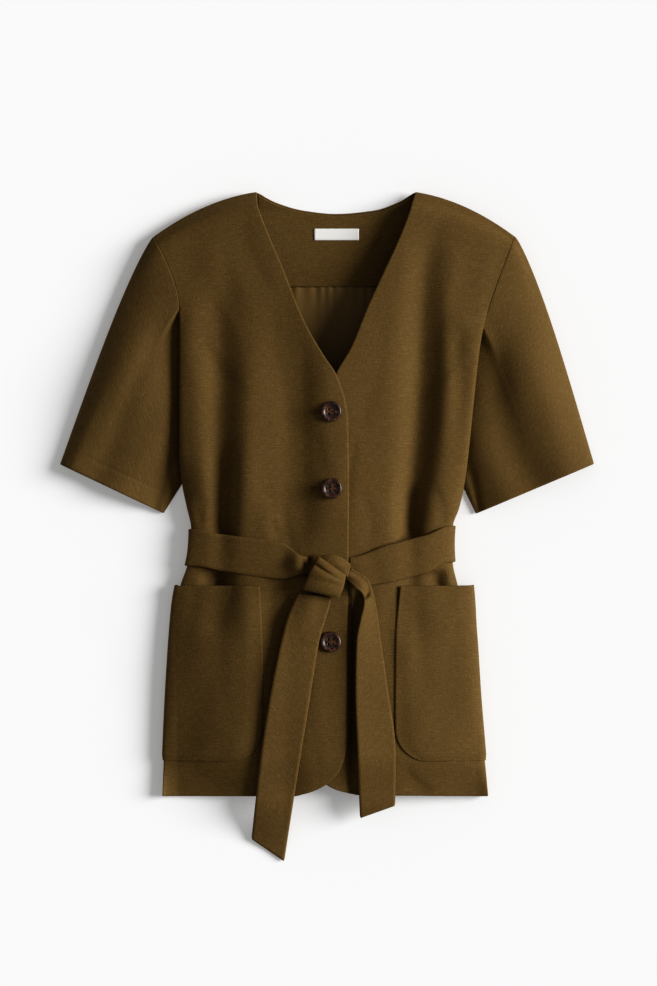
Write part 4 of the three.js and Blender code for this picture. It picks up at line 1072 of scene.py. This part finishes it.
# %% The knot's wrap and loop
KNOT_TOP = ((-9, -34), (20, -54))
KNOT_LOW = ((-25.5, -69), (12.5, -78))
KNOT_DEEP = 13
KNOT_ROUND, KNOT_LONG = 72, 46
LOOP_WAY = np.array([0.25, 1.0]) / math.hypot(0.25, 1.0)
LOOP_LONG, LOOP_ACROSS = 34, 14
button_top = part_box("button_3")[1][2] / MM
knot_floor = button_top + 0.6


def knot_ring():
    """A flattened ring that leans with the knot: its length runs from left to right."""
    t = np.linspace(0, 1, KNOT_LONG)[:, None]
    turn = -2 * math.pi * np.arange(KNOT_ROUND) / KNOT_ROUND
    c, s = np.cos(turn), np.sin(turn)
    bulge = 0.06 * np.sin(math.pi * t)
    high = (1 + np.sign(c) * np.abs(c) ** (0.8 + bulge)) / 2
    tx, ty = (mix(KNOT_TOP[0][i], KNOT_TOP[1][i], t) for i in (0, 1))
    lx, ly = (mix(KNOT_LOW[0][i], KNOT_LOW[1][i], t) for i in (0, 1))
    x, y = mix(lx, tx, high), mix(ly, ty, high)
    x = x + 2.5 * np.sin(math.pi * high) * (t - 0.45)
    depth = KNOT_DEEP / 2 * (0.7 + 0.3 * np.sin(math.pi * t) ** 0.7)
    z = knot_floor + 1 + depth + depth * np.sign(s) * np.abs(s) ** 0.7
    above = smooth(s * 2)
    lip = -2.6 * bell((high - 0.78 + 0.1 * t) / 0.05) * smooth(1.15 - t)
    fold = lip - 1.2 * bell((high - 0.34 - 0.2 * t) / 0.1) * smooth(t * 1.3)
    fold += 1.3 * bell((high - 0.56) / 0.13) - 2.2 * (t - 0.3) ** 2
    return places(x, y, z + above * fold)


def bent_loop(start, stop, peak, height, wide):
    """A small loop of belt cloth that rises from one end, turns over, and comes down."""
    t = np.linspace(0, 1, LOOP_LONG)[:, None]
    s = np.linspace(-0.5, 0.5, LOOP_ACROSS)
    x, y = ((1 - t) ** 2 * a + 2 * t * (1 - t) * p + t**2 * b + way * s * wide
            for a, b, p, way in zip(start, stop, peak, LOOP_WAY))
    z = knot_floor + 2 + height * np.sin(math.pi * t) * (1 - 0.5 * (2 * s) ** 2)
    return places(x, y, z)


dress("belt_knot_cloth", "belt_knot", knot_ring(), BELT_FINISH, flat=(0.086, 0.041),
      held="folded", uv=lambda grid: arc_uv(grid)[..., ::-1], thickness=BELT_CLOTH, closed=True,
      rests_on=["belt_band_cloth"])
dress("belt_knot_loop", None, bent_loop((-10, -41), (24, -49), (8, -33), 4.5, 14), BELT_FINISH,
      flat=(0.039, 0.0145), held="folded", uv=arc_uv, thickness=LOOP_CLOTH, digits=5,
      rests_on=["belt_knot_cloth"])

# %% [markdown]
# ## Buttons
# Each button is turned on a lathe: a rounded rim, a dished middle and four drilled holes. The
# profile is spun in code, and the holes are drilled with a Boolean that is then applied, so
# that their real walls show.

# %% Turned buttons
BUTTONS = [(4.5, 126), (5, 41.5), (4.5, -43), (4, -127)]
BUTTON_PROFILE = [
    # radius, height: from the middle of the top to the rim, and round to the underside
    (0.0, 2.15), (1.6, 2.15), (5.6, 2.2), (6.6, 2.35), (7.4, 2.8), (8.3, 3.3), (9.3, 3.55),
    (10.2, 3.45), (10.9, 3.0), (11.35, 2.3), (11.4, 1.6), (11.0, 0.8), (10.0, 0.25), (8.0, 0.0),
    (0.0, 0.0),
]
BUTTON_SIDES = 64
HOLE_RADIUS, HOLE_REACH = 1.15, 3.1
DRILL_SIDES, DRILL_DEPTH, DRILL_LEVEL = 16, 4, 1.8


def lathe(profile, sides):
    """A closed spun mesh as points and faces."""
    points, faces, rings = [], [], []
    for radius, height in profile:
        turns = [2 * math.pi * k / sides for k in range(sides if radius else 1)]
        rings.append([len(points) + k for k in range(len(turns))])
        points += [(radius * math.cos(a), radius * math.sin(a), height) for a in turns]
    for above, below in zip(rings, rings[1:]):
        for k in range(sides):
            corners = [(above, k), (below, k), (below, k + 1), (above, k + 1)]
            face = dict.fromkeys(ring[at % len(ring)] for ring, at in corners)
            faces.append(tuple(face))
    return np.array(points, dtype=float), faces


def drilled(thing, centres):
    """Drills round holes through a piece with a Boolean, and applies it."""
    half = [(0, DRILL_DEPTH), (HOLE_RADIUS, DRILL_DEPTH)]
    points, faces = lathe(half + [(radius, -height) for radius, height in half[::-1]], DRILL_SIDES)
    all_points = np.concatenate([points + centre for centre in centres])
    all_faces = [tuple(i + k * len(points) for i in face)
                 for k in range(len(centres)) for face in faces]
    cutter = put("drill", mesh_from("drill", all_points, all_faces))
    cut = thing.modifiers.new("holes", "BOOLEAN")
    cut.object, cut.operation, cut.solver = cutter, "DIFFERENCE", "EXACT"
    applied(thing, cut)
    bpy.data.objects.remove(cutter)
    return thing


button_places = []
for number, (x, y) in enumerate(BUTTONS, start=1):
    node = f"button_{number}"
    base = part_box(node)[0][2] / MM
    button_places.append((x, y, base))
    points, faces = lathe(BUTTON_PROFILE, BUTTON_SIDES)
    mesh = mesh_from(f"{node}_horn", points + (x, y, base), faces)
    mesh.materials.append(HORN_FINISH)
    holes = [(x + HOLE_REACH * math.cos(a), y + HOLE_REACH * math.sin(a), base + DRILL_LEVEL)
             for a in (math.pi / 4 + k * math.pi / 2 for k in range(4))]
    belong(drilled(put(f"{node}_horn", mesh), holes), "button", node)

# %% [markdown]
# ## Sewing with Geometry Nodes
# Buttonholes, button threads and tacks all repeat one small stitch along a path. One node tree
# does it: it resamples a path at the stitch pitch, sets a small bead on each point, turned across
# the path, and makes real geometry of them. Its sizes are named inputs, with a fixed seed for
# the slight unevenness of real sewing.


# %% The stitch tree
def stitch_tree():
    """The node tree, and what each of its inputs is called in a modifier."""
    tree = bpy.data.node_groups.new("stitches_on_path", "GeometryNodeTree")

    def socket(name, kind, way="INPUT", value=None):
        made = tree.interface.new_socket(name, in_out=way, socket_type="NodeSocket" + kind)
        if value is not None:
            made.default_value = value
        return made

    def node(kind, inputs=None, **settings):
        made = tree.nodes.new(kind)
        for key, value in settings.items():
            setattr(made, key, value)
        for key, value in (inputs or {}).items():
            if isinstance(value, bpy.types.NodeSocket):
                tree.links.new(value, made.inputs[key])
            else:
                made.inputs[key].default_value = value
        return made

    def maths(operation, *values):
        return node("ShaderNodeMath", dict(enumerate(values)), operation=operation).outputs[0]

    socket("Geometry", "Geometry")
    sizes = {name: socket(name, "Float", value=value) for name, value in (
        ("Pitch", 0.8), ("Length", 2.6), ("Thickness", 0.5), ("Turn", 90.0), ("Unevenness", 0.12))}
    sizes["Seed"] = socket("Seed", "Int")
    sizes["Finish"] = socket("Finish", "Material")
    socket("Geometry", "Geometry", "OUTPUT")
    given = node("NodeGroupInput").outputs
    path = node("GeometryNodeMeshToCurve", {"Mesh": given["Geometry"]})
    points = node("GeometryNodeCurveToPoints",
                  {"Curve": path.outputs["Curve"], "Length": given["Pitch"]}, mode="LENGTH")
    ball = node("GeometryNodeMeshUVSphere",
                {"Segments": 8, "Rings": 6, "Radius": maths("MULTIPLY", given["Thickness"], 0.5)})
    stretch = node("ShaderNodeCombineXYZ", {
        0: maths("DIVIDE", given["Length"], given["Thickness"]), 1: 1.0, 2: 0.8})
    stitch = node("GeometryNodeTransform",
                  {"Geometry": ball.outputs["Mesh"], "Scale": stretch.outputs[0]})
    turn = node("ShaderNodeCombineXYZ", {2: maths("RADIANS", given["Turn"])})
    aligned = node("FunctionNodeAlignEulerToVector",
                   {"Vector": points.outputs["Tangent"]}, axis="X", pivot_axis="Z")
    spun = node("FunctionNodeRotateEuler",
                {"Rotation": aligned.outputs[0], "Rotate By": turn.outputs[0]}, space="OBJECT")
    uneven = node("FunctionNodeRandomValue", {
        2: maths("SUBTRACT", 1.0, given["Unevenness"]), 3: maths("ADD", 1.0, given["Unevenness"]),
        "Seed": given["Seed"]}, data_type="FLOAT")
    placed = node("GeometryNodeInstanceOnPoints", {
        "Points": points.outputs["Points"], "Instance": stitch.outputs["Geometry"],
        "Rotation": spun.outputs[0], "Scale": uneven.outputs[1],
    })
    real = node("GeometryNodeRealizeInstances", {"Geometry": placed.outputs[0]})
    painted = node("GeometryNodeSetMaterial",
                   {"Geometry": real.outputs[0], "Material": given["Finish"]})
    tree.links.new(painted.outputs[0], node("NodeGroupOutput").inputs[0])
    return tree, {name: made.identifier for name, made in sizes.items()}


STITCH_TREE, STITCH_INPUTS = stitch_tree()
STITCH_SEED = 7
print("a stitch has the inputs", list(STITCH_INPUTS))


def sew(name, paths, finish, **sizes):
    """Sews stitches along open paths of points in millimetres, as one plain mesh."""
    points = np.concatenate(paths)
    edges, total = [], 0
    for path in paths:
        edges += [(total + k, total + k + 1) for k in range(len(path) - 1)]
        total += len(path)
    line = bpy.data.meshes.new(name)
    line.from_pydata(((points + SHIFT) * MM).tolist(), edges, [])
    thing = put(name, line)
    modifier = thing.modifiers.new("sewing", "NODES")
    modifier.node_group = STITCH_TREE
    modifier[STITCH_INPUTS["Seed"]] = STITCH_SEED
    for key, value in sizes.items():
        plain = key in ("Turn", "Unevenness")
        modifier[STITCH_INPUTS[key]] = value if plain else value * MM
    modifier[STITCH_INPUTS["Finish"]] = finish
    mesh = applied(thing, modifier)
    mesh.polygons.foreach_set("use_smooth", [True] * len(mesh.polygons))
    belong(thing, "cloth")


# %% Buttonholes, button threads and label tacks
HOLE_LEFT, HOLE_RIGHT, HOLE_HALF, HOLE_END = 21.5, 7, 1.3, 1.5
KNOT_HIDES = (-100, 0)
THREAD_LOW, THREAD_RISE = 2.2, 0.75


def on_left_front(x, y, stand=0.05):
    """Points just above the upper front's skin."""
    x, y = np.broadcast_arrays(x, y)
    return places(x, y, front_height(x, y) + left_lift(x) + CLOTH / 2 + stand)


hole_paths, thread_paths, label_paths = [], [], []
for x, y, base in button_places:
    if not KNOT_HIDES[0] < y < KNOT_HIDES[1]:
        across = np.linspace(x - HOLE_LEFT, x - HOLE_RIGHT, 20)
        end = np.radians(np.linspace(90, 270, 9))
        hole_paths += [on_left_front(across, y - HOLE_HALF), on_left_front(across, y + HOLE_HALF),
                       on_left_front(x - HOLE_LEFT + HOLE_END * np.cos(end),
                                     y + HOLE_END * np.sin(end))]
    reach = HOLE_REACH / math.sqrt(2)
    t = np.linspace(-1, 1, 14)
    height = base + THREAD_LOW + THREAD_RISE * np.clip(1 - t**4, 0, 1)
    thread_paths += [places(x + reach * t, y + side * reach + pass_off, height)
                     for side in (-1, 1) for pass_off in (-0.35, 0.0, 0.35)]
for x in (label_x[0] + 1.2, label_x[1] - 1.2):
    y = np.linspace(LABEL_MIDDLE[1] - 5.2, LABEL_MIDDLE[1] + 5.2, 12)
    label_paths.append(places(x, y, back_height(x, y) + INSIDE_STAND + TACK_STAND))
sew("buttonhole_stitches", hole_paths, THREAD_FINISH, Pitch=0.6, Length=1.9, Thickness=0.5,
    Turn=90.0, Unevenness=0.15)
sew("button_threads", thread_paths, THREAD_FINISH, Pitch=0.35, Length=0.9, Thickness=0.45,
    Turn=0.0, Unevenness=0.05)
sew("label_tacks", label_paths, LABEL_THREAD, Pitch=2.0, Length=1.5, Thickness=0.35, Turn=0.0,
    Unevenness=0.1)

# %% [markdown]
# ## Surface and light
# A pale studio surface under one low, soft sun lamp from the right and a little above, with a weak
# even surround. The surface gives off a little light of its own, so that it is as even and as
# near to white as the photograph's paper, while the shadows on it keep their depth.
# The shadow falls to the left and a little down, and each trough has a dark wall and a light one.

# %% Surface
HALF = 4.0
FLOOR_GREY, PAPER, LIGHT_LEVEL = 0.7, 0.668, 0.718
floor_mesh = bpy.data.meshes.new("surface")
floor_mesh.from_pydata([(-HALF, -HALF, 0), (HALF, -HALF, 0), (HALF, HALF, 0), (-HALF, HALF, 0)],
                       [], [(0, 1, 2, 3)])
floor_finish = Finish("pale_surface")
floor_mesh.materials.append(floor_finish.set(
    Base_Color=(FLOOR_GREY, FLOOR_GREY, FLOOR_GREY, 1), Roughness=1.0, Specular_IOR_Level=0.0,
    Emission_Color=(1, 1, 1, 1), Emission_Strength=PAPER - FLOOR_GREY * LIGHT_LEVEL))
surface = put("surface", floor_mesh)
print("the surface is", 2 * HALF, "m wide")

# %% Lights
SURROUND = 0.205
KEY_RISE, KEY_ROUND, KEY_WIDE = 26, 9, 30
world = bpy.data.worlds.new("studio")
world.use_nodes = True
world.node_tree.nodes["Background"].inputs[0].default_value = (1, 1, 1, 1)
world.node_tree.nodes["Background"].inputs[1].default_value = SURROUND
scene.world = world
rise = math.radians(KEY_RISE)
key_data = bpy.data.lights.new("key_light", "SUN")
key_data.angle = math.radians(KEY_WIDE)
key_data.energy = (LIGHT_LEVEL - SURROUND) * math.pi / math.sin(rise)
key = put("key_light", key_data)
key.rotation_euler = (math.pi / 2 - rise, 0, math.radians(KEY_ROUND) + math.pi / 2)
print("key strength", round(key_data.energy, 2))
